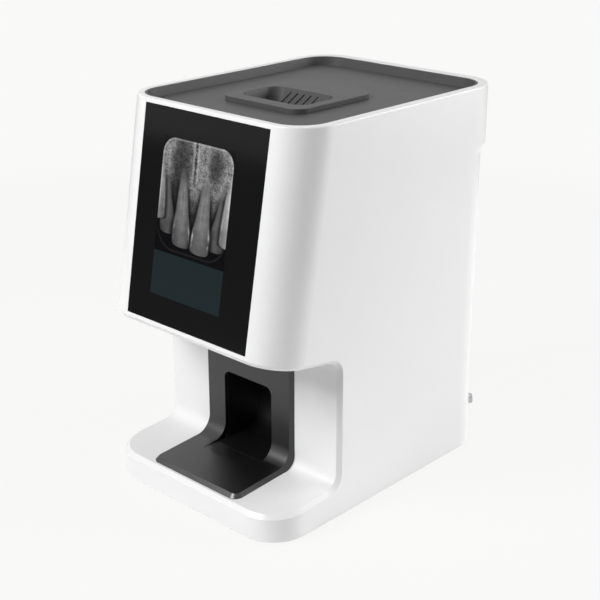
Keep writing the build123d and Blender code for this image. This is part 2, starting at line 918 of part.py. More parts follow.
def make_pinch_roller(z):
    reach = frame_out + 2
    roller = rod((-reach, pinch_y, z), (1, 0, 0), shaft_radius, 2 * reach)
    return roller + rod((-roller_half, pinch_y, z), (1, 0, 0), pinch_radius, 2 * roller_half)


# A toothed pulley between two flanges, on a shaft hole or solid
def toothed_pulley(y, z, bore):
    pulley = rod((pulley_x, y, z), (1, 0, 0), pulley_radius, pulley_width)
    for index in range(pulley_teeth):
        turn = 2 * math.pi * index / pulley_teeth
        place = (pulley_x - 1, y + pulley_radius * math.cos(turn), z + pulley_radius * math.sin(turn))
        pulley -= rod(place, (1, 0, 0), tooth_radius, pulley_width + 2)
    for start in (pulley_x, pulley_x + pulley_width - pulley_flange_sheet):
        pulley += rod((start, y, z), (1, 0, 0), pulley_flange, pulley_flange_sheet)
    if bore:
        pulley -= rod((pulley_x - 1, y, z), (1, 0, 0), bore, pulley_width + 2)
    return pulley


def make_motor_pulley():
    pulley = toothed_pulley(motor_y, motor_height, 0)
    inner = frame_half - motor_length / 2
    return pulley + rod((inner, motor_y, motor_height), (1, 0, 0), motor_shaft, pulley_x + 2 - inner)


# A flat belt round the three pulleys
def make_belt():
    start = pulley_x + pulley_flange_sheet + fit

    places = [(drive_y, upper_roller_height), (drive_y, lower_roller_height), (motor_y, motor_height)]

    def loop(radius):
        circles = [Pos(y, z) * Circle(radius) for y, z in places]
        return make_hull([edge for circle in circles for edge in circle.edges()])

    ring = loop(pulley_radius + fit + belt_thickness) - loop(pulley_radius + fit)
    return extrude(Plane.YZ.offset(start) * ring, pulley_width - 2 * (pulley_flange_sheet + fit))


def make_feed_motor():
    half = motor_size / 2
    face_x = frame_half - close_fit
    body_block = block((face_x - motor_length, face_x), (motor_y - half, motor_y + half),
                       (motor_height - half, motor_height + half))
    body_block = chamfer(body_block.edges().filter_by(Axis.X), 3)
    body_block += rod((face_x - 1, motor_y, motor_height), (1, 0, 0), motor_pilot, 3)
    inner = frame_half - motor_length / 2 - 1
    body_block -= rod((inner, motor_y, motor_height), (1, 0, 0), motor_shaft + running_gap, motor_length)
    for y, z in motor_screw_places:
        body_block -= screw_hole((face_x - 6, y, z), (1, 0, 0), 8)
    return body_block


def make_optics_base():
    half = frame_half - close_fit
    span = (path_y + optics_front_gap, frame_rear - optics_rear_gap)
    base = block((-half, half), span, (optics_z - optics_sheet, optics_z))
    for side in (-1, 1):
        lip = sorted((side * half, side * (half - 2)))
        base += block(lip, span, (optics_z - optics_sheet - optics_lip, optics_z))
    return base


def make_laser_module():
    barrel = rod((laser_tip_x - laser_length, laser_y, scan_height), (1, 0, 0), laser_barrel, laser_length)
    holder_x = laser_tip_x - laser_holder_gap
    half = laser_holder_width / 2
    holder = block((holder_x - laser_holder_length, holder_x), (laser_y - half, laser_y + half),
                   (optics_z, scan_height + laser_barrel + laser_holder_bevel))
    holder = chamfer(holder.faces().sort_by(Axis.Z)[-1].edges(), laser_holder_bevel)
    nozzle = rod((laser_tip_x, laser_y, scan_height), (1, 0, 0), laser_barrel / 2, laser_nozzle)
    return barrel + holder + nozzle


def make_polygon_motor():
    hub_low = scan_height - polygon_thickness / 2 - polygon_hub_height
    half_x = polygon_plate_width / 2
    half_y = polygon_plate_length / 2
    plate = block((polygon_x - half_x, polygon_x + half_x), (polygon_y - half_y, polygon_y + half_y),
                  (optics_z, optics_z + polygon_plate_sheet))
    stator = rod((polygon_x, polygon_y, optics_z), (0, 0, 1), polygon_hub, hub_low - optics_z - fit)
    pin = rod((polygon_x, polygon_y, optics_z), (0, 0, 1), polygon_pin,
              scan_height + polygon_thickness / 2 + 1 - optics_z)
    return plate + stator + pin


# Six-sided scanning mirror with its hub, spinning on the motor's pin
def make_polygon_mirror():
    mirror_low = scan_height - polygon_thickness / 2
    six = Pos(polygon_x, polygon_y, mirror_low) * RegularPolygon(polygon_radius, 6)
    mirror = extrude(six, polygon_thickness)
    hub_low = mirror_low - polygon_hub_height
    mirror += rod((polygon_x, polygon_y, hub_low), (0, 0, 1), polygon_hub, polygon_hub_height)
    return mirror - rod((polygon_x, polygon_y, hub_low - 1), (0, 0, 1), polygon_pin + running_gap,
                        polygon_thickness + polygon_hub_height + 2)


# Bar lens, flat towards the mirror and bowed towards the film
def make_scan_lens():
    rear = lens_y + lens_thickness
    shoulder = lens_y + lens_thickness / 2
    flat = Polyline((-lens_half, shoulder), (-lens_half, rear), (lens_half, rear), (lens_half, shoulder))
    bow = ThreePointArc((lens_half, shoulder), (0, lens_y), (-lens_half, shoulder))
    plan = make_face(Curve() + [flat, bow])
    return extrude(Pos(0, 0, scan_height - lens_height / 2) * plan, lens_height)


def make_lens_holder():
    low_z = scan_height - lens_height / 2 - close_fit
    reach = lens_half + close_fit
    holder = block((-reach - 3, reach + 3), (lens_y - 1, lens_y + lens_thickness + 1), (optics_z, low_z))
    for side in (-1, 1):
        holder += block(sorted((side * reach, side * (reach + 3))),
                        (lens_y + lens_thickness / 2, lens_y + lens_thickness + 1),
                        (optics_z, scan_height + lens_height / 2))
    return holder


# Clear light guide, wide at the scan line and round at the detector
def make_light_guide():
    mouth_y = path_y + guide_gap + guide_sheet + fit
    mouth_z = scan_height + guide_mouth_rise + guide_mouth / 2
    wide = Plane(origin=(0, mouth_y, mouth_z), x_dir=(1, 0, 0), z_dir=(0, 1, 0)) * Rectangle(
        2 * (roller_half - 1), guide_mouth)
    end = Plane(origin=(0, detector_y - close_fit, detector_height), x_dir=(1, 0, 0),
                z_dir=(0, 1, 0)) * Circle(detector_radius - 1.5)
    return loft([wide, end])


def make_photomultiplier():
    start = (0, detector_y, detector_height)
    tube = rod(start, (0, 1, 0), detector_radius, detector_length)
    return tube + rod(start, (0, 1, 0), detector_radius - 3, detector_length + 5)


# Shield round the detector, hung from a cross plate between the frames
def make_detector_shield():
    span = (detector_y + 2, detector_y + detector_length - 2)
    top = detector_height + shield_half
    shield = block((-shield_half, shield_half), span, (detector_height - shield_half, top))
    shield = chamfer(shield.edges().filter_by(Axis.Y), 3)
    half = frame_half - close_fit
    shield += block((-half, half), span, (top - 0.5, top + 2))
    for side in (-1, 1):
        shield += block(sorted((side * half, side * (half - 1.5))), span, (top - 12, top + 2))
    return shield - rod((0, span[0] - 1, detector_height), (0, 1, 0), detector_radius + fit,
                        detector_length + 2)


# Row of lamps that clears the film, facing the film through the guide's window
def make_eraser_bar():
    front = path_y + guide_gap + guide_sheet + fit
    bar = block((-eraser_half, eraser_half), (front, front + eraser_thickness),
                (eraser_height - eraser_size / 2, eraser_height + eraser_size / 2))
    for index in range(lamp_count):
        x = (index - (lamp_count - 1) / 2) * 2 * (roller_half - 4) / (lamp_count - 1)
        bar += rod((x, front, eraser_height), (0, -1, 0), lamp_radius, fit + guide_sheet / 2)
    return bar


def make_plate_sensor():
    rear = path_y - guide_gap - guide_sheet - close_fit
    z = (upper_roller_height + scan_height) / 2
    sensor = block((-10, 10), (rear - 1.6, rear), (z - 7, z + 7))
    return sensor + block((-5, 5), (rear - 7, rear - 1.6), (z - 4, z + 4))


# A part on the outward face of a board, from places along Y and Z that start at its low corner
def on_board(side, reach, y, length, z, tall):
    start = frame_leg + board_inset
    face = board_x + board_sheet
    return block(sorted((side * face, side * (face + reach))), (start + y, start + y + length),
                 (z, z + tall))


def bare_board(side, length):
    start = frame_leg + board_inset
    return block(sorted((side * board_x, side * (board_x + board_sheet))), (start, start + length),
                 (board_low, board_high))


def make_main_board():
    board = bare_board(-1, main_board_length)
    middle_z = (board_low + board_high) / 2
    sink_low = middle_z - sink_height / 2
    for index in range(sink_fins):
        y = sink_place + index * sink_pitch
        board += on_board(-1, sink_reach, y, sink_fin, sink_low, sink_height)
    sink_length = (sink_fins - 1) * sink_pitch + sink_fin
    board += on_board(-1, sink_base, sink_place, sink_length, sink_low, sink_height)
    for z in (board_low + board_row, board_high - board_row - connector_height):
        board += on_board(-1, connector_reach, chip_place, connector_length, z, connector_height)
    return board + on_board(-1, chip_thickness, chip_place, chip_size, middle_z - chip_size / 2, chip_size)


def make_power_board():
    board = bare_board(1, power_board_length)
    board += on_board(1, transformer_reach, transformer_place, transformer_size,
                      board_low + board_row, transformer_size)
    board += on_board(1, coil_reach, coil_place, coil_length, board_low + board_row, coil_height)
    start = frame_leg + board_inset
    for index in range(capacitor_count):
        place = (board_x + board_sheet, start + (index + 1) * capacitor_pitch, board_high - 1.5 * board_row)
        board += rod(place, (1, 0, 0), capacitor_radius, capacitor_reach)
    fins_low = board_low + 3.5 * board_row
    for index in range(power_fins):
        y = power_fin_place + index * power_fin_pitch
        board += on_board(1, power_fin_reach, y, power_fin, fins_low, power_fin_height)
    fins_length = (power_fins - 1) * power_fin_pitch + power_fin
    return board + on_board(1, power_fin_base, power_fin_place, fins_length, fins_low, power_fin_height)


def make_standoffs():
    start = frame_leg + board_inset
    bars = []
    for side in (-1, 1):
        for y in (start + 5, frame_rear - 7):
            for z in (board_low + 8, board_high - 8):
                place = (side * (frame_out + close_fit), y, z)
                bars.append(rod(place, (side, 0, 0), standoff_radius, board_gap - 2 * close_fit))
    return bars


# Rear cover with the fan's vents and the cut-outs for the sockets
def make_rear_cover():
    cover = block((-cover_half, cover_half), (cover_in, inset_y), (cover_low, cover_high))
    cover = fillet(cover.edges().filter_by(Axis.Y), cover_corner)
    inner = cover_half - cover_rebate - fit
    for side in (-1, 1):
        rib = sorted((side * inner, side * (inner - cover_rib)))
        cover += block(rib, (cover_in - cover_rib_height, cover_in),
                       (cover_low + cover_rib_gap, cover_high - cover_rib_gap))
    for index in range(vent_count):
        z = fan_height + (index - (vent_count - 1) / 2) * vent_pitch
        reach = math.sqrt((fan_bore + 2) ** 2 - (z - fan_height) ** 2)
        cover -= vent_slot(reach, z)
    for index in range(lower_vents):
        cover -= vent_slot(cover_half - lower_vent_side, cover_low + lower_vent_rise + index * vent_pitch)
    for x, wide, tall in socket_sizes():
        cover -= block((x - wide / 2 - pocket_gap, x + wide / 2 + pocket_gap), (cover_in - 1, inset_y + 1),
                       (socket_height - tall / 2 - pocket_gap, socket_height + tall / 2 + pocket_gap))
    left, right = port_board_span()
    for x in (left + port_post_side, right - port_post_side):
        cover += rod((x, cover_in, socket_height + port_post_rise), (0, -1, 0), port_post,
                     port_depth - close_fit)
    for x, z in cover_screw_places + fan_screw_places:
        cover -= screw_hole((x, inset_y + 1, z), (0, -1, 0), cover_sheet + 2)
    return cover


def vent_slot(reach, z):
    slot = block((-reach, reach), (cover_in - 1, inset_y + 1), (z - vent_width / 2, z + vent_width / 2))
    return fillet(slot.edges().filter_by(Axis.Y), vent_width / 2 - 0.05)


def socket_sizes():
    return [(inlet_x, inlet_width, inlet_size), (network_x, network_width, network_size),
            (usb_x, usb_width, usb_size)]


def make_fan_frame():
    rear = cover_in - close_fit
    front = rear - fan_thickness
    half = fan_size / 2
    frame = block((-half, half), (front, rear), (fan_height - half, fan_height + half))
    frame = fillet(frame.edges().filter_by(Axis.Y), fan_corner)
    frame -= rod((0, front - 1, fan_height), (0, 1, 0), fan_bore, fan_thickness + 2)
    frame += rod((0, front, fan_height), (0, 1, 0), fan_hub, fan_floor)
    strut = Pos(0, 0, (fan_hub + fan_bore) / 2) * Box(fan_strut, fan_floor, fan_bore - fan_hub + 2)
    for index in range(fan_struts):
        turn = 90 + 360 * index / fan_struts
        frame += Pos(0, front + fan_floor / 2, fan_height) * Rot(0, turn, 0) * strut
    frame += rod((0, front, fan_height), (0, 1, 0), fan_pin, fan_thickness - fan_end_gap)
    for x, z in fan_screw_places:
        frame -= screw_hole((x, front - 1, z), (0, 1, 0), fan_thickness + 2)
    return frame


# Fan rotor: a hub with twisted blades, spinning on the frame's pin
def make_fan_rotor():
    front = cover_in - close_fit - fan_thickness + fan_floor + fit
    length = fan_thickness - fan_floor - 2 * fit - 1
    hub = rod((0, front, fan_height), (0, 1, 0), fan_hub, length)
    middle = front + length / 2
    tip = fan_bore - fan_tip_gap
    for index in range(fan_blades):
        turn = 360 * index / fan_blades
        sections = []
        for reach, pitch in ((fan_hub - 1.5, fan_root_pitch), (tip - 1, fan_tip_pitch)):
            plane = Plane(origin=(0, 0, reach), z_dir=(0, 0, 1)).rotated((0, 0, pitch))
            sections.append(plane * Rectangle(fan_blade, 0.75 * length))
        blade = loft(sections, ruled=True)
        hub += Pos(0, middle, fan_height) * Rot(0, turn, 0) * blade
    return hub - rod((0, front - 1, fan_height), (0, 1, 0), fan_pin + running_gap,
                     fan_thickness - fan_end_gap - fan_floor + 1)


def make_power_inlet():
    rear = inset_y
    half_x = inlet_width / 2
    half_z = inlet_size / 2
    inlet = block((inlet_x - half_x, inlet_x + half_x), (rear - inlet_depth, rear),
                  (socket_height - half_z, socket_height + half_z))
    lower = inlet.edges().filter_by(Axis.Y).sort_by(Axis.Z)[:2]
    inlet = chamfer(lower, inlet_bevel)
    inlet += block((inlet_x - half_x - inlet_flange, inlet_x + half_x + inlet_flange),
                   (cover_in - close_fit - inlet_flange, cover_in - close_fit),
                   (socket_height - half_z - inlet_flange, socket_height + half_z + inlet_flange))
    well_x = half_x - inlet_wall
    well_z = half_z - inlet_wall
    inlet -= block((inlet_x - well_x, inlet_x + well_x), (rear - inlet_well, rear + 1),
                   (socket_height - well_z, socket_height + well_z))
    half_pin = inlet_pin / 2
    half_tall = inlet_pin_height / 2
    for side, rise in ((-1, -inlet_pin_low), (0, inlet_pin_high), (1, -inlet_pin_low)):
        x = inlet_x + side * inlet_pin_side
        z = socket_height + rise
        inlet += block((x - half_pin, x + half_pin), (rear - inlet_well - 1, rear - inlet_flange - 1),
                       (z - half_tall, z + half_tall))
    return inlet


# A socket shell with a recessed mouth and a tongue in it
def make_socket(x, wide, tall):
    rear = inset_y - port_setback
    shell = block((x - wide / 2, x + wide / 2), (cover_in - port_depth + close_fit, rear),
                  (socket_height - tall / 2, socket_height + tall / 2))
    mouth = wide / 2 - port_wall
    shell -= block((x - mouth, x + mouth), (rear - port_well, rear + 1),
                   (socket_height - tall / 2 + port_wall, socket_height + tall / 2 - port_roof))
    return shell + block((x - wide / 4, x + wide / 4), (rear - port_well - 1, rear - port_tongue),
                         (socket_height - port_tongue / 2, socket_height + port_tongue / 2))


def port_board_span():
    start = usb_x - port_board_margin
    return start, start + port_board_width


def make_port_board():
    rear = cover_in - port_depth
    return block(port_board_span(), (rear - board_sheet, rear),
                 (socket_height - port_board_low, socket_height + port_board_high))


# Round button that slides into the corner, held by its flange
def make_power_button():
    top = corner_radius + button_proud
    cap = rod(button_point(button_seat - button_flange_sheet), button_out, button_radius,
              top - button_seat + button_flange_sheet)
    outer_end = cap.edges().filter_by(GeomType.CIRCLE).sort_by_distance(button_point(top))[0]
    cap = fillet(outer_end, button_edge)
    return cap + rod(button_point(button_seat - button_flange_sheet), button_out, button_flange,
                     button_flange_sheet)


def make_power_switch():
    start = switch_floor - switch_length
    outer = button_flange + button_gap + switch_wall
    barrel = rod(button_point(start), button_out, outer, corner_radius - start)
    inside = Pos(corner_x, corner_y, button_height - 2 * outer)
    inside *= Cylinder(corner_radius - wall - close_fit, 4 * outer, align=low)
    barrel &= inside
    barrel -= rod(button_point(switch_floor), button_out, button_flange + button_gap, corner_radius)
    for side in (-1, 1):
        tab = Pos(side * switch_tab_side, 0, -switch_tab / 2) * Box(1, 5, 2 * switch_tab)
        barrel += Plane(origin=button_point(start), z_dir=button_out) * tab
    return barrel


def make_base_plate():
    edge = wall + fit
    plan = outline(front_y + edge, foot_y - edge, width / 2 - edge, corner_radius - edge, foot_height)
    plate = extrude(plan, base_sheet)
    for x, y in base_screw_places:
        plate -= screw_hole((x, y, foot_height - 1), (0, 0, 1), 2 * base_sheet)
        plate -= rod((x, y, foot_height - 1), (0, 0, 1), screw_head + fit, screw_head_height + 1.1)
    for x, y in feet_places:
        plate -= rod((x, y, foot_height - 1), (0, 0, 1), foot_radius + pocket_gap, 1 + foot_recess)
    for x, y in foot_screw_places:
        plate -= screw_hole((x, y, foot_height + 0.6), (0, 0, 1), base_sheet)
    for index in range(base_vents):
        y = (index - (base_vents - 1) / 2) * base_vent_pitch + base_vent_shift
        half = base_vent_width / 2
        slot = block((-base_vent_half, base_vent_half), (y - half, y + half),
                     (foot_height - 1, base_top + 1))
        plate -= fillet(slot.edges().filter_by(Axis.Z), half - 0.1)
    return plate


def make_feet():
    feet = []
    for x, y in feet_places:
        foot = rod((x, y, 0), (0, 0, 1), foot_radius, foot_height + foot_recess)
        feet.append(chamfer(foot.faces().sort_by(Axis.Z)[0].edges(), 0.6))
    return feet


def make_base_screws():
    head_z = foot_height + screw_head_height + 0.1
    return [screw((x, y, head_z), (0, 0, -1), 10) for x, y in base_screw_places]


def make_foot_screws():
    top = base_top + frame_foot_sheet
    return [screw((x, y, top), (0, 0, 1), frame_foot_sheet + base_sheet - 0.8)
            for x, y in foot_screw_places]


def make_cover_screws():
    return [screw((x, inset_y, z), (0, 1, 0), 8) for x, z in cover_screw_places]


def make_fan_screws():
    return [screw((x, inset_y, z), (0, 1, 0), cover_sheet + fan_thickness - 2) for x, z in fan_screw_places]


def make_bracket_screws():
    screws = []
    for x, down in bracket_screw_places:
        seat = display_start + bracket_sheet
        shank = face_rod(x, down, glass_pocket + 0.6, screw_radius, seat - glass_pocket - 0.6)
        screws.append(shank + face_rod(x, down, seat, screw_head, screw_head_height))
    return screws


def make_motor_screws():
    return [screw((frame_out, y, z), (1, 0, 0), frame_sheet + 5) for y, z in motor_screw_places]


pieces = {
    "main_housing": make_housing(),
    "base_plate": make_base_plate(),
    "rubber_feet": make_feet(),
    "rear_cover": make_rear_cover(),
    "top_tray": make_top_tray(),
    "feed_funnel": make_feed_funnel(),
    "feed_flap": make_feed_flap(),
    "display_glass": make_display_glass(),
    "display_module": make_display_module(),
    "display_bracket": make_display_bracket(),
    "display_board": make_display_board(),
    "exit_chute": make_exit_chute(),
    "chute_slide": make_chute_slide(),
    "transport_frame_left": make_frame(-1),
    "transport_frame_right": make_frame(1),
    "frame_tie_rods": make_tie_rods(),
    "front_guide_plate": make_guide_plate(-1),
    "rear_guide_plate": make_guide_plate(1),
    "roller_bushes": make_bushes(),
    "upper_drive_roller": make_drive_roller(upper_roller_height),
    "lower_drive_roller": make_drive_roller(lower_roller_height),
    "upper_pinch_roller": make_pinch_roller(upper_roller_height),
    "lower_pinch_roller": make_pinch_roller(lower_roller_height),
    "upper_pulley": toothed_pulley(drive_y, upper_roller_height, shaft_radius + 0.02),
    "lower_pulley": toothed_pulley(drive_y, lower_roller_height, shaft_radius + 0.02),
    "motor_pulley": make_motor_pulley(),
    "timing_belt": make_belt(),
    "feed_motor": make_feed_motor(),
    "optics_base": make_optics_base(),
    "laser_module": make_laser_module(),
    "polygon_motor": make_polygon_motor(),
    "polygon_mirror": make_polygon_mirror(),
    "scan_lens": make_scan_lens(),
    "lens_holder": make_lens_holder(),
    "light_guide": make_light_guide(),
    "photomultiplier": make_photomultiplier(),
    "detector_shield": make_detector_shield(),
    "eraser_lamp_bar": make_eraser_bar(),
    "plate_sensor": make_plate_sensor(),
    "main_board": make_main_board(),
    "power_board": make_power_board(),
    "board_standoffs": make_standoffs(),
    "fan_frame": make_fan_frame(),
    "fan_rotor": make_fan_rotor(),
    "power_inlet": make_power_inlet(),
    "network_socket": make_socket(network_x, network_width, network_size),
    "usb_socket": make_socket(usb_x, usb_width, usb_size),
    "port_board": make_port_board(),
    "power_button": make_power_button(),
    "power_switch": make_power_switch(),
    "base_screws": make_base_screws(),
    "frame_foot_screws": make_foot_screws(),
    "rear_cover_screws": make_cover_screws(),
    "fan_screws": make_fan_screws(),
    "display_screws": make_bracket_screws(),
    "motor_screws": make_motor_screws(),
}

os.makedirs("parts", exist_ok=True)
for name, piece in pieces.items():
    if isinstance(piece, list):
        piece = Compound(children=piece)
    piece.label = name
    export_step(piece, f"parts/{name}.step")
    print(name, len(piece.solids()), round(piece.volume))
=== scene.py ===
import json
import math
import bmesh
import bpy
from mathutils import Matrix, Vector


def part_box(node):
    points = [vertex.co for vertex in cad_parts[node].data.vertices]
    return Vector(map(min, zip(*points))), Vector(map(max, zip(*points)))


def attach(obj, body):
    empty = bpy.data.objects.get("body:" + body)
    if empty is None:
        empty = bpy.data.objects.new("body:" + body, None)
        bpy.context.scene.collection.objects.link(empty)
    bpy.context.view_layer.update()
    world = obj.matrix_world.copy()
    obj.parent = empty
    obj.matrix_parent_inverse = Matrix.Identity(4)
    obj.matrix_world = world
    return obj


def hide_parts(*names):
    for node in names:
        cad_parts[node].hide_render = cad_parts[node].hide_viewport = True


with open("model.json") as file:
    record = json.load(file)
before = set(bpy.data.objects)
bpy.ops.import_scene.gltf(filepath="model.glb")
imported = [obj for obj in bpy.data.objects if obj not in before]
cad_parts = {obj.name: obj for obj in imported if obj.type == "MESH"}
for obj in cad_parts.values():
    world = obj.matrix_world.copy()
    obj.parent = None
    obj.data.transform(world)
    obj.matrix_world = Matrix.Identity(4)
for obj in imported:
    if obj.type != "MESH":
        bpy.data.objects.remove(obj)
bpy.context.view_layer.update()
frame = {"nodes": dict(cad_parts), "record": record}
nodes = frame["nodes"]
slotOf = {row["node"]: row["material_slot"] for row in frame["record"]["subparts"]}
print("frame loaded:", len(nodes), "nodes")

white = (1.0, 1.0, 1.0)


def shade(colour, amount):
    return tuple(part * amount for part in colour) + (1.0,)


class Wire:
    # a shader socket that can stand in a sum, a product or a comparison
    def __init__(self, paint, socket):
        self.paint = paint
        self.socket = socket

    def __add__(self, other):
        return self.paint.maths("ADD", self, other)

    def __radd__(self, other):
        return self.paint.maths("ADD", other, self)

    def __sub__(self, other):
        return self.paint.maths("SUBTRACT", self, other)

    def __rsub__(self, other):
        return self.paint.maths("SUBTRACT", other, self)

    def __mul__(self, other):
        return self.paint.maths("MULTIPLY", self, other)

    def __rmul__(self, other):
        return self.paint.maths("MULTIPLY", other, self)

    def __truediv__(self, other):
        return self.paint.maths("DIVIDE", self, other)

    def __rtruediv__(self, other):
        return self.paint.maths("DIVIDE", other, self)

    def __neg__(self):
        return self.paint.maths("MULTIPLY", self, -1.0)

    def __abs__(self):
        return self.paint.maths("ABSOLUTE", self)

    def __pow__(self, other):
        return self.paint.maths("POWER", self, other)

    def __gt__(self, other):
        return self.paint.maths("GREATER_THAN", self, other)

    def __lt__(self, other):
        return self.paint.maths("LESS_THAN", self, other)


class Nodes:
    # a node tree and the few ways its nodes are added
    def __init__(self, tree):
        self.tree = tree

    def plug(self, socket, value):
        if isinstance(value, Wire):
            self.tree.links.new(value.socket, socket)
        else:
            socket.default_value = value

    def node(self, kind, settings=None, inputs=None, output=0):
        made = self.tree.nodes.new(kind)
        for key, value in (settings or {}).items():
            setattr(made, key, value)
        for key, value in (inputs or {}).items():
            self.plug(made.inputs[key], value)
        return Wire(self, made.outputs[output]) if made.outputs else made

    def maths(self, operation, *values):
        return self.node("ShaderNodeMath", {"operation": operation}, dict(enumerate(values)))

    def most(self, first, second):
        return self.maths("MAXIMUM", first, second)

    def vector(self, x, y, z):
        return self.node("ShaderNodeCombineXYZ", None, {0: x, 1: y, 2: z})

    def rays(self, *kinds):
        # 1 for each kind of ray that asks, from one Light Path node
        path = self.tree.nodes.new("ShaderNodeLightPath")
        return [Wire(self, path.outputs["Is " + kind + " Ray"]) for kind in kinds]


class Paint(Nodes):
    # one material
    def __init__(self, name):
        self.material = bpy.data.materials.new(name)
        self.material.use_nodes = True
        super().__init__(self.material.node_tree)
        self.tree.nodes.clear()

    def clip(self, value):
        return self.node("ShaderNodeClamp", None, {"Value": value})

    def ramp(self, value, start, end, low=0.0, high=1.0):
        settings = {"interpolation_type": "SMOOTHSTEP"}
        inputs = {"Value": value, "From Min": start, "From Max": end, "To Min": low, "To Max": high}
        return self.node("ShaderNodeMapRange", settings, inputs)

    def fade(self, value, level, span):
        # 0 to 1 between two distances from a level
        return self.ramp(value, level + span[0], level + span[1])

    def mix(self, factor, first, second):
        # sockets 6 and 7 and output 2 are the colours of a Mix node
        settings = {"data_type": "RGBA", "clamp_factor": True}
        return self.node("ShaderNodeMix", settings, {0: factor, 6: first, 7: second}, 2)

    def place(self, scale=(1.0, 1.0, 1.0)):
        spot = self.node("ShaderNodeTexCoord", None, None, "Object")
        return self.node("ShaderNodeMapping", None, {"Vector": spot, "Scale": scale})

    def parts(self, vector):
        return [self.node("ShaderNodeSeparateXYZ", None, {0: vector}, turn) for turn in range(3)]

    def away(self, x, y):
        return self.maths("SQRT", x ** 2.0 + y ** 2.0)

    def noise(self, vector, scale, detail=3.0, rough=0.5):
        inputs = {"Vector": vector, "Scale": scale, "Detail": detail, "Roughness": rough}
        return self.node("ShaderNodeTexNoise", None, inputs)

    def bump(self, height, strength, distance, edge=0.0):
        inputs = {"Height": height, "Strength": strength, "Distance": distance}
        if edge:
            inputs["Normal"] = self.node("ShaderNodeBevel", {"samples": 6}, {"Radius": edge})
        return self.node("ShaderNodeBump", None, inputs)

    def finish(self, inputs):
        shader = self.node("ShaderNodeBsdfPrincipled", None, inputs)
        self.node("ShaderNodeOutputMaterial", None, {"Surface": shader})
        return self.material


class Shape(Nodes):
    # one Geometry Nodes tree, with named inputs for its sizes
    def __init__(self, name, sizes):
        super().__init__(bpy.data.node_groups.new(name, "GeometryNodeTree"))
        self.idents = {}
        self.addInput("points", "NodeSocketGeometry")
        for key, value in sizes.items():
            if isinstance(value, int):
                kind = "NodeSocketInt"
            else:
                kind = "NodeSocketVector" if isinstance(value, tuple) else "NodeSocketFloat"
            self.addInput(key, kind)
        self.addInput("finish", "NodeSocketMaterial")
        self.tree.interface.new_socket(name="made", in_out="OUTPUT", socket_type="NodeSocketGeometry")
        self.given = self.tree.nodes.new("NodeGroupInput")

    def addInput(self, key, kind):
        socket = self.tree.interface.new_socket(name=key, in_out="INPUT", socket_type=kind)
        self.idents[key] = socket.identifier

    def size(self, key):
        return Wire(self, self.given.outputs[key])

    def pick(self, values):
        # one of the values, by a point's number
        made = self.tree.nodes.new("GeometryNodeIndexSwitch")
        made.data_type = "FLOAT"
        while len(made.index_switch_items) < len(values):
            made.index_switch_items.new()
        self.plug(made.inputs["Index"], self.node("GeometryNodeInputIndex"))
        for turn, value in enumerate(values):
            self.plug(made.inputs[str(turn)], value)
        return Wire(self, made.outputs[0])

    def end(self, geometry):
        real = self.node("GeometryNodeRealizeInstances", None, {"Geometry": geometry})
        coat = {"Geometry": real, "Material": self.size("finish")}
        done = self.node("GeometryNodeSetMaterial", None, coat)
        close = self.tree.nodes.new("NodeGroupOutput")
        self.tree.links.new(done.socket, close.inputs[0])

    def build(self, name, points, sizes, finish):
        # runs the tree on a few points and keeps the plain mesh
        seedMesh = bpy.data.meshes.new(name + "_points")
        seedMesh.from_pydata(points, [], [])
        seed = bpy.data.objects.new(name + "_points", seedMesh)
        bpy.context.scene.collection.objects.link(seed)
        modifier = seed.modifiers.new("tree", "NODES")
        modifier.node_group = self.tree
        for key, value in sizes.items():
            modifier[self.idents[key]] = value
        modifier[self.idents["finish"]] = finish
        graph = bpy.context.evaluated_depsgraph_get()
        mesh = bpy.data.meshes.new_from_object(seed.evaluated_get(graph), depsgraph=graph)
        seed.modifiers.clear()
        bpy.data.objects.remove(seed)
        mesh.name = name
        piece = bpy.data.objects.new(name, mesh)
        bpy.context.scene.collection.objects.link(piece)
        return piece


# moulded plastics: colour, how far it varies, roughness and gloss; grain size and depth and the rounding
# of edges are in metres
plastics = {
    "white_shell": {
        "colour": (0.80, 0.802, 0.80), "vary": 0.02, "rough": 0.34, "gloss": 0.5,
        "grain": 0.0009, "depth": 0.000012, "edge": 0.0007, "coat": 0.12,
    },
    "rear_grey": {
        "colour": (0.74, 0.744, 0.74), "vary": 0.03, "rough": 0.42, "gloss": 0.5,
        "grain": 0.0008, "depth": 0.00002, "edge": 0.0004, "coat": 0.0,
    },
    "dark_tray": {
        "colour": (0.052, 0.052, 0.053), "vary": 0.12, "rough": 0.55, "gloss": 0.42,
        "grain": 0.0006, "depth": 0.00003, "edge": 0.0006, "coat": 0.0,
    },
    "black_chute": {
        "colour": (0.004, 0.004, 0.0043), "vary": 0.25, "rough": 0.31, "gloss": 0.75,
        "grain": 0.0006, "depth": 0.000006, "edge": 0.0004, "coat": 0.0,
    },
    "grey_plastic": {
        "colour": (0.62, 0.625, 0.63), "vary": 0.04, "rough": 0.4, "gloss": 0.5,
        "grain": 0.0006, "depth": 0.00001, "edge": 0.0003, "coat": 0.0,
    },
    "black_plastic": {
        "colour": (0.022, 0.022, 0.024), "vary": 0.2, "rough": 0.48, "gloss": 0.5,
        "grain": 0.0005, "depth": 0.00002, "edge": 0.0003, "coat": 0.0,
    },
    "rubber": {
        "colour": (0.025, 0.025, 0.026), "vary": 0.3, "rough": 0.78, "gloss": 0.3,
        "grain": 0.0004, "depth": 0.00004, "edge": 0.0003, "coat": 0.0,
    },
}

# what the plastics share: patches and wear per metre, and how far they change roughness and coat
plasticLook = {
    "patches": 14.0, "patchRough": 0.05, "wear": 55.0, "wearRough": 0.09,
    "grainStrength": 0.5, "coatVary": 0.08, "coatRough": 0.12,
}


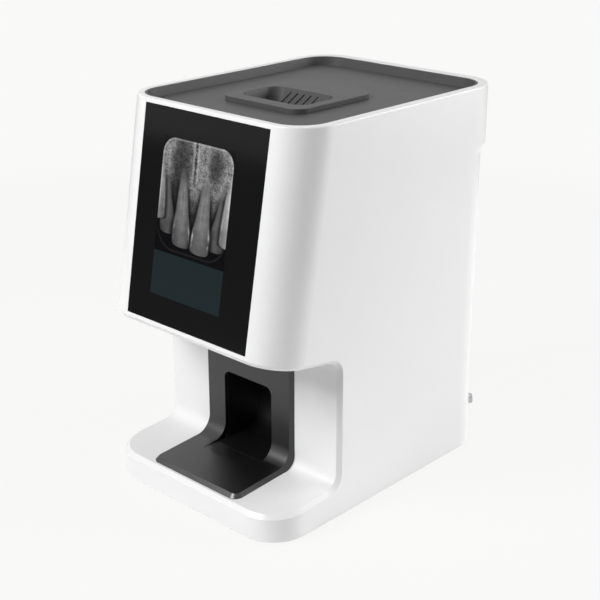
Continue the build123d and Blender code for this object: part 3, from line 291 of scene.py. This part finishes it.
def mouldedPlastic(name, look, shared):
    paint = Paint(name)
    spot = paint.place()
    patches = paint.noise(spot, shared["patches"], 2.0)
    grain = paint.noise(spot, 1.0 / look["grain"], 2.0, 0.6)
    wear = paint.noise(spot, shared["wear"], 4.0, 0.6)
    dark = shade(look["colour"], 1.0 - look["vary"])
    light = shade(look["colour"], 1.0 + look["vary"])
    rough = look["rough"] + (wear - 0.5) * shared["wearRough"] + (patches - 0.5) * shared["patchRough"]
    inputs = {
        "Base Color": paint.mix(patches, dark, light), "Roughness": rough,
        "Specular IOR Level": look["gloss"],
        "Normal": paint.bump(grain, shared["grainStrength"], look["depth"], look["edge"]),
    }
    if look["coat"]:
        inputs["Coat Weight"] = look["coat"] + (patches - 0.5) * shared["coatVary"]
        inputs["Coat Roughness"] = shared["coatRough"]
    return paint.finish(inputs)


# metals: colour, roughness, and the run of the brushed lines
metals = {
    "sheet_steel": {"colour": (0.60, 0.61, 0.62), "rough": 0.36, "lines": (30.0, 900.0, 30.0)},
    "steel": {"colour": (0.52, 0.53, 0.55), "rough": 0.28, "lines": (900.0, 60.0, 60.0)},
    "aluminium": {"colour": (0.74, 0.75, 0.77), "rough": 0.4, "lines": (400.0, 400.0, 400.0)},
    "mirror": {"colour": (0.92, 0.92, 0.93), "rough": 0.05, "lines": (300.0, 300.0, 40.0)},
    "bronze": {"colour": (0.58, 0.36, 0.15), "rough": 0.42, "lines": (700.0, 700.0, 700.0)},
}

# what the metals share: darkest and lightest shade, blotches per metre, and how far both change roughness
metalLook = {
    "dark": 0.86, "light": 1.08, "blotches": 45.0, "blotchRough": 0.1,
    "lineRough": 0.16, "lineStrength": 0.25, "lineDepth": 0.00003,
}


def metalFinish(name, look, shared):
    paint = Paint(name)
    lines = paint.noise(paint.place(look["lines"]), 1.0, 3.0, 0.65)
    blotches = paint.noise(paint.place(), shared["blotches"], 3.0)
    dark = shade(look["colour"], shared["dark"])
    light = shade(look["colour"], shared["light"])
    rough = look["rough"] + (lines - 0.5) * shared["lineRough"] + (blotches - 0.5) * shared["blotchRough"]
    return paint.finish({
        "Base Color": paint.mix(lines * 0.5 + blotches * 0.5, dark, light),
        "Metallic": 1.0, "Roughness": rough,
        "Normal": paint.bump(lines, shared["lineStrength"], shared["lineDepth"]),
    })


# circuit boards: lacquer over copper lines, with a grid of plated holes in some patches; what stands proud
# of a board's face is told by its distance from the middle plane in metres
boardLook = {
    "lacquer": (0.012, 0.11, 0.045), "copper": (0.03, 0.2, 0.08), "plated": (0.72, 0.66, 0.5),
    "epoxy": (0.024, 0.024, 0.026), "tin": (0.62, 0.63, 0.65), "face": 0.0638, "capTop": 0.0872,
    "line": 0.0028, "lineSlope": 0.35, "lineEdge": (0.16, 0.2), "bends": 60.0, "bend": 0.006,
    "hole": 0.00254, "holeRadius": 0.24, "patches": 38.0, "patchFrom": 0.56,
    "rough": 0.34, "platedRough": 0.1, "bendRough": 0.1, "proudRough": 0.12, "shine": 0.9,
    "reliefStrength": 0.4, "reliefDepth": 0.00004,
}


def boardFinish(name, look):
    paint = Paint(name)
    spot = paint.place()
    across, along, up = paint.parts(spot)
    bend = paint.noise(spot, look["bends"], 1.0)
    run = (along + up * look["lineSlope"] + bend * look["bend"]) / look["line"]
    line = paint.ramp(abs(paint.maths("FRACT", run) - 0.5), *look["lineEdge"])
    holes = [abs(paint.maths("FRACT", way / look["hole"]) - 0.5) for way in (along, up)]
    patch = paint.noise(spot, look["patches"], 0.0) > look["patchFrom"]
    plated = (paint.away(*holes) < look["holeRadius"]) * patch
    proud = abs(across) > look["face"]
    tinned = abs(across) > look["capTop"]
    tint = paint.mix(line, shade(look["copper"], 1.0), shade(look["lacquer"], 1.0))
    for mask, layer in ((plated, "plated"), (proud, "epoxy"), (tinned, "tin")):
        tint = paint.mix(mask, tint, shade(look[layer], 1.0))
    rough = look["rough"] + plated * look["platedRough"] + (bend - 0.5) * look["bendRough"]
    return paint.finish({
        "Base Color": tint, "Roughness": rough + proud * look["proudRough"],
        "Metallic": paint.most(plated * look["shine"] - proud, tinned * look["shine"]),
        "Normal": paint.bump(line + plated, look["reliefStrength"], look["reliefDepth"]),
    })


# clear optical plastic of the light guide and the scan lens
clearLook = {
    "colour": (0.86, 0.92, 0.94), "dark": 0.94, "light": 1.02, "clouds": 30.0,
    "rough": 0.06, "cloudRough": 0.06, "alpha": 0.45, "cloudAlpha": 0.1,
    "rippleStrength": 0.1, "rippleDepth": 0.00005,
}


def clearFinish(name, look):
    paint = Paint(name)
    cloud = paint.noise(paint.place(), look["clouds"], 3.0)
    dark = shade(look["colour"], look["dark"])
    light = shade(look["colour"], look["light"])
    return paint.finish({
        "Base Color": paint.mix(cloud, dark, light),
        "Roughness": look["rough"] + cloud * look["cloudRough"],
        "Alpha": look["alpha"] + cloud * look["cloudAlpha"],
        "Normal": paint.bump(cloud, look["rippleStrength"], look["rippleDepth"]),
    })


# the screen: the glass slopes back, so its picture is laid out across it and down it, in millimetres
screenLook = {
    "tilt": 9.96, "topZ": 391.0, "topY": -126.6, "centreX": -4.2, "frontFacing": -0.9,
    "halfWidth": 47.1, "top": 29.65, "bottom": 180.35, "soft": 0.12,
    "glassColour": (0.0075, 0.0075, 0.008), "litGlass": (0.004, 0.004, 0.005),
    "panel": (0.0115, 0.0195, 0.0215), "panelDark": 0.94, "panelLight": 1.06,
    "smears": 24.0, "rough": 0.05, "smearRough": 0.05, "gloss": 0.12, "strength": 1.0,
    "smearStrength": 0.03, "smearDepth": 0.00004,
}

# the film on the upper part of the screen, made from formulas: front teeth under speckled bone;
# fades are two depths down the glass and, for the bone, the light that is left
filmLook = {
    "end": 138.1, "black": 0.0005, "inset": 0.5, "wave": 14.0,
    "bone": 0.22, "fine": 0.78, "coarse": 0.5, "boneLeast": 0.02,
    "gumLeast": 0.025, "gumFade": (98.0, 64.0, 0.12), "biteFade": (117.0, 104.0, 0.03),
    "hollowReach": 2.4,
    "seamFrom": 60.0, "seamSlope": 0.03, "seamShift": 1.5, "seamWave": 0.1,
    "seamDark": 0.17, "seamWidth": (1.6, 0.4), "seamFade": (72.0, 62.0),
    "besideSeam": 3.2, "besidePale": 0.1, "besideWidth": (1.6, 0.2), "besideFade": (78.0, 60.0),
    "radius": 16.0, "topInset": 0.7, "outline": 0.13, "outlineFade": (104.0, 80.0),
    "lowerRadius": 24.0, "lowerInset": 3.0, "lowerOutline": 0.01, "lowerFade": (112.0, 122.0),
}

# dark hollows in the bone: middle, height, half width and half height in millimetres, and how dark
hollows = (
    (-20.0, 54.0, 12.0, 30.0, 0.8),
    (25.0, 48.0, 9.0, 15.0, 0.75),
    (-28.0, 84.0, 10.0, 16.0, 0.6),
)

# the teeth, from the ones behind to the ones in front: where each stands, the half widths of crown and neck,
# the depths of its root, crown and biting edge, how it leans, and the light of its body and enamel
teeth = (
    {
        "middle": -31.5, "crown": 10.0, "neck": 6.0, "rootTop": 60.0, "crownTop": 92.0,
        "edge": 120.0, "lean": -0.13, "bright": 0.10, "enamel": 0.03,
    },
    {
        "middle": 33.0, "crown": 9.6, "neck": 6.0, "rootTop": 64.0, "crownTop": 95.0,
        "edge": 124.5, "lean": 0.12, "bright": 0.11, "enamel": 0.05,
    },
    {
        "middle": -46.5, "crown": 9.0, "neck": 7.0, "rootTop": 48.0, "crownTop": 78.0,
        "edge": 108.0, "lean": -0.03, "bright": 0.26, "enamel": 0.22,
    },
    {
        "middle": 47.0, "crown": 9.4, "neck": 7.5, "rootTop": 54.0, "crownTop": 84.0,
        "edge": 118.0, "lean": 0.02, "bright": 0.36, "enamel": 0.14,
    },
    {
        "middle": -11.8, "crown": 11.8, "neck": 7.8, "rootTop": 56.0, "crownTop": 100.0,
        "edge": 129.5, "lean": -0.06, "bright": 0.15, "enamel": 0.34,
    },
    {
        "middle": 12.6, "crown": 12.2, "neck": 8.0, "rootTop": 58.0, "crownTop": 101.0,
        "edge": 131.5, "lean": 0.04, "bright": 0.16, "enamel": 0.34,
    },
)

# how every tooth is drawn: fades are distances from its root's top, crown's top or edge, in millimetres
toothLook = {
    "rootStart": 8.0, "rootPower": 0.62, "flare": (-10.0, 16.0), "rootFade": (-6.0, 22.0),
    "biteHeight": 7.0, "biteRound": 4.0, "bitePower": 0.45, "biteFade": (0.6, -0.6), "soft": 1.1,
    "gapWidth": (6.0, 0.8), "gapFade": (2.0, 24.0), "gapDark": 0.8,
    "canalWidth": (2.2, 0.4), "canalFade": (12.0, -10.0), "canalDark": 0.35,
    "rimInset": 1.4, "rimWidth": (1.4, 0.2), "rimFade": (2.0, 14.0), "rimEnd": (-4.0, -12.0),
    "rimCloud": (0.35, 0.6), "sideLight": (1.2, 0.7), "depthLight": (0.62, 1.25), "lightFrom": 12.0,
    "cloudLeast": 0.45, "cloudMore": 1.1, "cover": 0.92,
}


def filmTooth(paint, row, look, across, down, value, cloud):
    # lays one tooth over the film so far
    edge = row["edge"]
    top = row["crownTop"]
    rootTop = row["rootTop"]
    side = abs(across - row["middle"] + (down - edge) * row["lean"])
    rootShare = paint.clip((down - rootTop + look["rootStart"]) / (top - rootTop))
    root = rootShare ** look["rootPower"] * row["neck"]
    flare = paint.fade(down, top, look["flare"]) * (row["crown"] - row["neck"])
    bite = paint.clip((down - edge + look["biteHeight"]) / look["biteHeight"])
    reach = (root + flare) * (1.0 - bite ** look["biteRound"]) ** look["bitePower"]
    inside = paint.ramp(side - reach, look["soft"], -look["soft"])
    inside = inside * paint.fade(down, edge, look["biteFade"]) * paint.fade(down, rootTop, look["rootFade"])
    gap = paint.ramp(side - reach, *look["gapWidth"]) * paint.fade(down, rootTop, look["gapFade"])
    canal = paint.ramp(side, *look["canalWidth"]) * paint.fade(down, top, look["canalFade"])
    rim = paint.ramp(abs(side - reach + look["rimInset"]), *look["rimWidth"])
    rim = rim * paint.fade(down, top, look["rimFade"]) * paint.fade(down, edge, look["rimEnd"])
    sideLight = paint.ramp(side, 0.0, reach + 0.1, *look["sideLight"])
    depthLight = paint.ramp(down, edge, top - look["lightFrom"], *look["depthLight"])
    body = row["bright"] * (look["cloudLeast"] + cloud * look["cloudMore"]) * depthLight * sideLight
    body = body + rim * row["enamel"] * paint.ramp(cloud, *look["rimCloud"])
    body = body - canal * row["bright"] * look["canalDark"]
    value = value * (1.0 - gap * look["gapDark"])
    return value + (body - value) * inside * look["cover"]


def filmBone(paint, look, across, down, wave, fine, coarse):
    # speckled bone with dark hollows, a dark seam down its middle and a pale line beside that
    speckle = look["bone"] + (fine - 0.5) * look["fine"] + (coarse - 0.5) * look["coarse"]
    value = paint.most(speckle, look["boneLeast"])
    for middle, height, wide, tall, depth in hollows:
        away = ((across - middle + wave) / wide) ** 2.0 + ((down - height - wave) / tall) ** 2.0
        value = value * (1.0 - paint.ramp(away, look["hollowReach"], 0.0, 0.0, depth))
    drift = (down - look["seamFrom"]) * look["seamSlope"]
    seam = abs(across - drift + look["seamShift"] + wave * look["seamWave"])
    dark = paint.ramp(seam, *look["seamWidth"]) * paint.ramp(down, *look["seamFade"])
    beside = abs(seam - look["besideSeam"])
    pale = paint.ramp(beside, *look["besideWidth"]) * paint.ramp(down, *look["besideFade"])
    value = value - dark * look["seamDark"] + pale * look["besidePale"]
    value = paint.most(value, look["gumLeast"]) * paint.ramp(down + wave, *look["gumFade"], 1.0)
    return value * paint.ramp(down + wave * 0.5, *look["biteFade"], 1.0)


def beyondCorner(paint, screen, look, across, past, radius):
    # how far a point lies outside a pair of rounded corners of the film
    beside = paint.most(abs(across) - (screen["halfWidth"] - radius - look["inset"]), 0.0)
    return paint.away(beside, paint.most(past, 0.0)) - radius


def screenPicture(paint, screen, look):
    # the picture on the screen, and a mask of the lit part
    x, y, z = paint.parts(paint.place((1000.0, 1000.0, 1000.0)))
    lean = math.radians(screen["tilt"])
    across = x - screen["centreX"]
    down = (screen["topZ"] - z) * math.cos(lean) + (screen["topY"] - y) * math.sin(lean)
    flat = paint.vector(across, down, 0.0)
    wave = (paint.noise(flat, 0.055, 2.0) - 0.5) * look["wave"]
    fine = paint.noise(flat, 0.52, 3.0, 0.75)
    coarse = paint.noise(flat, 0.17, 2.0, 0.6)
    cloud = paint.noise(flat, 0.11, 3.0, 0.6)
    value = filmBone(paint, look, across, down, wave, fine, coarse)
    for row in teeth:
        value = filmTooth(paint, row, toothLook, across, down, value, cloud)
    # rounded film corners with a light outline, faint round the lower ones
    above = screen["top"] + look["radius"] + look["topInset"] - down
    upper = beyondCorner(paint, screen, look, across, above, look["radius"])
    under = down - (look["end"] - look["lowerRadius"] - look["lowerInset"])
    lower = beyondCorner(paint, screen, look, across, under, look["lowerRadius"])
    film = paint.ramp(upper, 0.35, -0.35) * paint.fade(down, look["end"], (0.2, -0.2))
    outline = paint.ramp(abs(upper + 0.9), 1.1, 0.2)
    outline = outline * paint.ramp(down, *look["outlineFade"], 0.0, look["outline"])
    lowerLine = paint.ramp(abs(lower + 0.8), 1.4, 0.2)
    outline = outline + lowerLine * paint.ramp(down, *look["lowerFade"], 0.0, look["lowerOutline"])
    value = paint.clip(value + outline) * film
    picture = paint.mix(value, shade(white, look["black"]), shade(white, 1.0))
    # below the film the panel is plain and nearly dark
    dark = shade(screen["panel"], screen["panelDark"])
    light = shade(screen["panel"], screen["panelLight"])
    panel = paint.mix(coarse * 0.3 + 0.3, dark, light)
    picture = paint.mix(paint.fade(down, look["end"], (-0.05, 0.15)), picture, panel)
    soft = screen["soft"]
    lit = paint.ramp(abs(across) - screen["halfWidth"], soft, -soft)
    lit = lit * paint.ramp(down - screen["top"], -soft, soft)
    lit = lit * paint.ramp(screen["bottom"] - down, -soft, soft)
    return picture, lit


def screenGlow(paint, screen):
    # the picture shines only from faces that look to the front
    picture, lit = screenPicture(paint, screen, filmLook)
    facing = paint.parts(paint.node("ShaderNodeNewGeometry", None, None, "Normal"))[1]
    shown = lit * (facing < screen["frontFacing"])
    return paint.mix(shown, shade(white, 0.0), picture), shown


def glassFinish(name, look):
    paint = Paint(name)
    glow, shown = screenGlow(paint, look)
    smear = paint.noise(paint.place(), look["smears"], 4.0, 0.6)
    return paint.finish({
        "Base Color": paint.mix(shown, shade(look["glassColour"], 1.0), shade(look["litGlass"], 1.0)),
        "Roughness": look["rough"] + smear * look["smearRough"],
        "Emission Color": glow, "Emission Strength": look["strength"], "Specular IOR Level": look["gloss"],
        "Normal": paint.bump(smear, look["smearStrength"], look["smearDepth"]),
    })


# the display behind the glass: dark when off, with fine streaks
displayLook = {
    "dark": (0.03, 0.035, 0.04), "light": (0.05, 0.055, 0.06), "streaks": 300.0,
    "rough": 0.3, "streakRough": 0.1,
}


def displayFinish(name, screen, look):
    paint = Paint(name)
    glow, shown = screenGlow(paint, screen)
    streak = paint.noise(paint.place(), look["streaks"], 2.0)
    return paint.finish({
        "Base Color": paint.mix(streak, shade(look["dark"], 1.0), shade(look["light"], 1.0)),
        "Roughness": look["rough"] + streak * look["streakRough"],
        "Emission Color": glow, "Emission Strength": screen["strength"],
    })


finishes = {}
for name, look in plastics.items():
    finishes[name] = mouldedPlastic(name, look, plasticLook)
for name, look in metals.items():
    finishes[name] = metalFinish(name, look, metalLook)
finishes["board"] = boardFinish("board", boardLook)
finishes["clear"] = clearFinish("clear", clearLook)
finishes["screen_glass"] = glassFinish("screen_glass", screenLook)
finishes["display"] = displayFinish("display", screenLook, displayLook)

for name, part in nodes.items():
    part.data.materials.clear()
    part.data.materials.append(finishes[slotOf[name]])
print("finishes laid on:", len(finishes))


# pan-head screws with a cross recess, one tree for every set; sizes in metres
screwLook = {
    "headRadius": 0.003, "headHeight": 0.0017, "shankRadius": 0.0015, "shankLength": 0.008,
    "slotWidth": 0.00075, "slotReach": 0.0034, "slotDepth": 0.0011, "outward": (0.0, 0.0, 1.0),
}

# a head's outline as shares of its height and radius, and the blunt tip as shares of the shank's radius
headOutline = ((0.0, 0.97), (0.4, 1.0), (0.72, 0.9), (0.92, 0.72), (1.0, 0.5))
tipOutline = {"rise": 0.6, "radius": 0.5, "underHead": 0.00002}
screwSides = 28


def screwShape(look):
    tree = Shape("screw_tree", look)
    head = tree.size("headRadius")
    tall = tree.size("headHeight")
    shank = tree.size("shankRadius")
    length = tree.size("shankLength")
    heights = [-length, shank * tipOutline["rise"] - length, -tipOutline["underHead"]]
    radii = [shank * tipOutline["radius"], shank, shank]
    for heightShare, radiusShare in headOutline:
        heights.append(tall * heightShare)
        radii.append(head * radiusShare)
    line = tree.node("GeometryNodeMeshLine", None, {"Count": len(heights)})
    spots = {"Geometry": line, "Position": tree.vector(0.0, 0.0, tree.pick(heights))}
    line = tree.node("GeometryNodeSetPosition", None, spots)
    axis = tree.node("GeometryNodeMeshToCurve", None, {"Mesh": line})
    ring = tree.node("GeometryNodeCurvePrimitiveCircle", None, {"Resolution": screwSides, "Radius": 1.0})
    sweep = {"Curve": axis, "Profile Curve": ring, "Scale": tree.pick(radii), "Fill Caps": True}
    cut = tree.node("GeometryNodeCurveToMesh", None, sweep)
    deep = tree.size("slotDepth") * 2.0
    wide = tree.size("slotWidth")
    reach = tree.size("slotReach")
    for across, along in ((wide, reach), (reach, wide)):
        bar = tree.node("GeometryNodeMeshCube", None, {"Size": tree.vector(across, along, deep)})
        lift = {"Geometry": bar, "Translation": tree.vector(0.0, 0.0, tall)}
        bar = tree.node("GeometryNodeTransform", None, lift)
        settings = {"operation": "DIFFERENCE", "solver": "EXACT"}
        cut = tree.node("GeometryNodeMeshBoolean", settings, {"Mesh 1": cut, "Mesh 2": bar})
    turn = tree.node("FunctionNodeAlignRotationToVector", {"axis": "Z"}, {"Vector": tree.size("outward")})
    copies = {"Points": tree.size("points"), "Instance": cut, "Rotation": turn}
    tree.end(tree.node("GeometryNodeInstanceOnPoints", None, copies))
    return tree


def islands(name, gap=0.000002):
    # box of each separate solid in a CAD node, as (lowest, highest) corners
    shape = bmesh.new()
    shape.from_mesh(nodes[name].data)
    bmesh.ops.remove_doubles(shape, verts=shape.verts, dist=gap)
    left = set(shape.verts)
    boxes = []
    while left:
        front = [left.pop()]
        group = []
        while front:
            spot = front.pop()
            group.append(spot.co.copy())
            for edge in spot.link_edges:
                other = edge.other_vert(spot)
                if other in left:
                    left.remove(other)
                    front.append(other)
        low = [min(point[axis] for point in group) for axis in range(3)]
        high = [max(point[axis] for point in group) for axis in range(3)]
        boxes.append([low, high])
    shape.free()
    return sorted(boxes)


# the way each set's heads look, and the length of the shanks
screwSets = {
    "rear_cover_screws": {"outward": (0.0, 1.0, 0.0), "shankLength": 0.008},
    "fan_screws": {"outward": (0.0, 1.0, 0.0), "shankLength": 0.015},
    "base_screws": {"outward": (0.0, 0.0, -1.0), "shankLength": 0.01},
    "frame_foot_screws": {"outward": (0.0, 0.0, 1.0), "shankLength": 0.0052},
    "motor_screws": {"outward": (1.0, 0.0, 0.0), "shankLength": 0.008},
}


def placeScrews(tree, name, look):
    outward = Vector(look["outward"])
    axis = max(range(3), key=lambda turn: abs(outward[turn]))
    seats = []
    for low, high in islands(name):
        seat = [(low[turn] + high[turn]) / 2 for turn in range(3)]
        headTop = high[axis] if outward[axis] > 0 else low[axis]
        seat[axis] = headTop - outward[axis] * screwLook["headHeight"]
        seats.append(seat)
    sizes = dict(screwLook)
    sizes.update(look)
    piece = tree.build(name + "_made", seats, sizes, finishes[slotOf[name]])
    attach(piece, "housing")
    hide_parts(name)


screwTree = screwShape(screwLook)
for name, look in screwSets.items():
    placeScrews(screwTree, name, look)
print("screws cut:", len(screwSets), "sets")


# sprung contacts on the tongues of the two data sockets, one tree for both; sizes in metres
contactLook = {
    "count": 8, "first": (0.0, 0.0, 0.0), "pitch": (0.0009, 0.0, 0.0), "blade": (0.00045, 0.005, 0.0003),
}
contactSets = {
    "network_socket": {"count": 8, "pitch": 0.0009},
    "usb_socket": {"count": 4, "pitch": 0.0013},
}
contactSeat = {"inside": 0.0055, "above": 0.00108}  # behind the socket's face, and over its middle


def contactShape(look):
    tree = Shape("contact_tree", look)
    spots = {"Count": tree.size("count"), "Start Location": tree.size("first"), "Offset": tree.size("pitch")}
    row = tree.node("GeometryNodeMeshLine", None, spots)
    blade = tree.node("GeometryNodeMeshCube", None, {"Size": tree.size("blade")})
    tree.end(tree.node("GeometryNodeInstanceOnPoints", None, {"Points": row, "Instance": blade}))
    return tree


def placeContacts(tree, name, look, seat):
    low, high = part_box(name)
    firstX = (low[0] + high[0]) / 2 - look["pitch"] * (look["count"] - 1) / 2
    sizes = dict(contactLook)
    sizes["count"] = look["count"]
    sizes["pitch"] = (look["pitch"], 0.0, 0.0)
    sizes["first"] = (firstX, high[1] - seat["inside"], (low[2] + high[2]) / 2 + seat["above"])
    piece = tree.build(name + "_contacts", [(0.0, 0.0, 0.0)], sizes, finishes["bronze"])
    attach(piece, "housing")


contactTree = contactShape(contactLook)
for name, look in contactSets.items():
    placeContacts(contactTree, name, look, contactSeat)
print("contacts set:", len(contactSets), "sockets")


# the studio's floor: how pale it is seen, how much shadow it keeps, and the light it throws back near and far
floorLook = {
    "size": 60.0, "under": 0.0002, "pale": 0.947, "blue": 0.992, "keepShadow": 0.06, "shadowPaint": 0.9,
    "bounce": 0.95, "bounceFar": 0.08, "near": 0.95, "far": 1.35,
}


def paleColour(look):
    return (look["pale"], look["pale"], look["pale"] * look["blue"], 1.0)


def makeFloor(look):
    mesh = bpy.data.meshes.new("floor")
    half = look["size"] / 2
    shape = bmesh.new()
    for x, y in ((-half, -half), (half, -half), (half, half), (-half, half)):
        shape.verts.new((x, y, -look["under"]))
    shape.faces.new(shape.verts)
    shape.to_mesh(mesh)
    shape.free()
    floor = bpy.data.objects.new("floor", mesh)
    bpy.context.scene.collection.objects.link(floor)
    paint = Paint("floor_paint")
    x, y, z = paint.parts(paint.place())
    near = paint.ramp(paint.away(x, y), look["far"], look["near"])
    bounce = paint.mix(near, shade(white, look["bounceFar"]), shade(white, look["bounce"]))
    body = paint.node("ShaderNodeBsdfDiffuse", None, {"Color": bounce})
    shadowed = paint.node("ShaderNodeBsdfDiffuse", None, {"Color": shade(white, look["shadowPaint"])})
    glow = paint.node("ShaderNodeEmission", None, {"Color": paleColour(look), "Strength": 1.0})
    seen = paint.node("ShaderNodeMixShader", None, {0: near * look["keepShadow"], 1: glow, 2: shadowed})
    camera, glossy, through = paint.rays("Camera", "Glossy", "Transmission")
    shown = paint.clip(camera + (glossy + through) * near)
    mixed = paint.node("ShaderNodeMixShader", None, {0: shown, 1: body, 2: seen})
    paint.node("ShaderNodeOutputMaterial", None, {"Surface": mixed})
    mesh.materials.append(paint.material)


makeFloor(floorLook)

# the room: a low light on the object, and the floor's pale colour where the camera or a reflection sees it
roomLook = {"room": 0.08, "pale": 0.947, "blue": 0.992}


def makeRoom(look):
    world = bpy.data.worlds.new("room")
    bpy.context.scene.world = world
    world.use_nodes = True
    room = Nodes(world.node_tree)
    room.tree.nodes.clear()
    dim = room.node("ShaderNodeBackground", None, {"Color": shade(white, 1.0), "Strength": look["room"]})
    bright = room.node("ShaderNodeBackground", None, {"Color": paleColour(look), "Strength": 1.0})
    camera, glossy, through = room.rays("Camera", "Glossy", "Transmission")
    clamped = {"operation": "ADD", "use_clamp": True}
    shown = room.node("ShaderNodeMath", clamped, {0: camera, 1: glossy + through})
    mixed = room.node("ShaderNodeMixShader", None, {0: shown, 1: dim, 2: bright})
    room.node("ShaderNodeOutputWorld", None, {"Surface": mixed})


makeRoom(roomLook)

# three square lamps: direction they stand in (degrees from +X towards +Y), height angle, size and watts
lamps = {
    "keyLamp": {"bearing": -107.0, "rise": 36.0, "size": 1.0, "watts": 45.0},
    "sideLamp": {"bearing": 48.0, "rise": 13.0, "size": 1.2, "watts": 44.0},
    "topLamp": {"bearing": 90.0, "rise": 88.0, "size": 1.3, "watts": 6.0},
}
lampStand = {"aim": (0.0, 0.0, 0.2), "away": 2.2}


def makeLamp(name, look, stand):
    light = bpy.data.lights.new(name, "AREA")
    light.shape = "SQUARE"
    light.size = look["size"]
    light.energy = look["watts"]
    lamp = bpy.data.objects.new(name, light)
    bearing = math.radians(look["bearing"])
    rise = math.radians(look["rise"])
    way = Vector((math.cos(bearing) * math.cos(rise), math.sin(bearing) * math.cos(rise), math.sin(rise)))
    lamp.location = Vector(stand["aim"]) + way * stand["away"]
    lamp.rotation_euler = way.to_track_quat("Z", "Y").to_euler()
    bpy.context.scene.collection.objects.link(lamp)


for name, look in lamps.items():
    makeLamp(name, look, lampStand)

# the camera stands where the photograph was taken from
cameraLook = {
    "place": (0.8185, -0.8796, 0.6401), "bearing": 43.07, "fall": 21.21, "lens": 75.69, "sensor": 36.0,
}


def makeCamera(look):
    shot = bpy.data.cameras.new("shot")
    shot.lens = look["lens"]
    shot.sensor_width = look["sensor"]
    camera = bpy.data.objects.new("shot", shot)
    camera.location = look["place"]
    camera.rotation_euler = (math.radians(90.0 - look["fall"]), 0.0, math.radians(look["bearing"]))
    bpy.context.scene.collection.objects.link(camera)
    bpy.context.scene.camera = camera


makeCamera(cameraLook)
bpy.context.scene.view_settings.view_transform = "Standard"
print("studio ready")

bpy.context.view_layer.update()
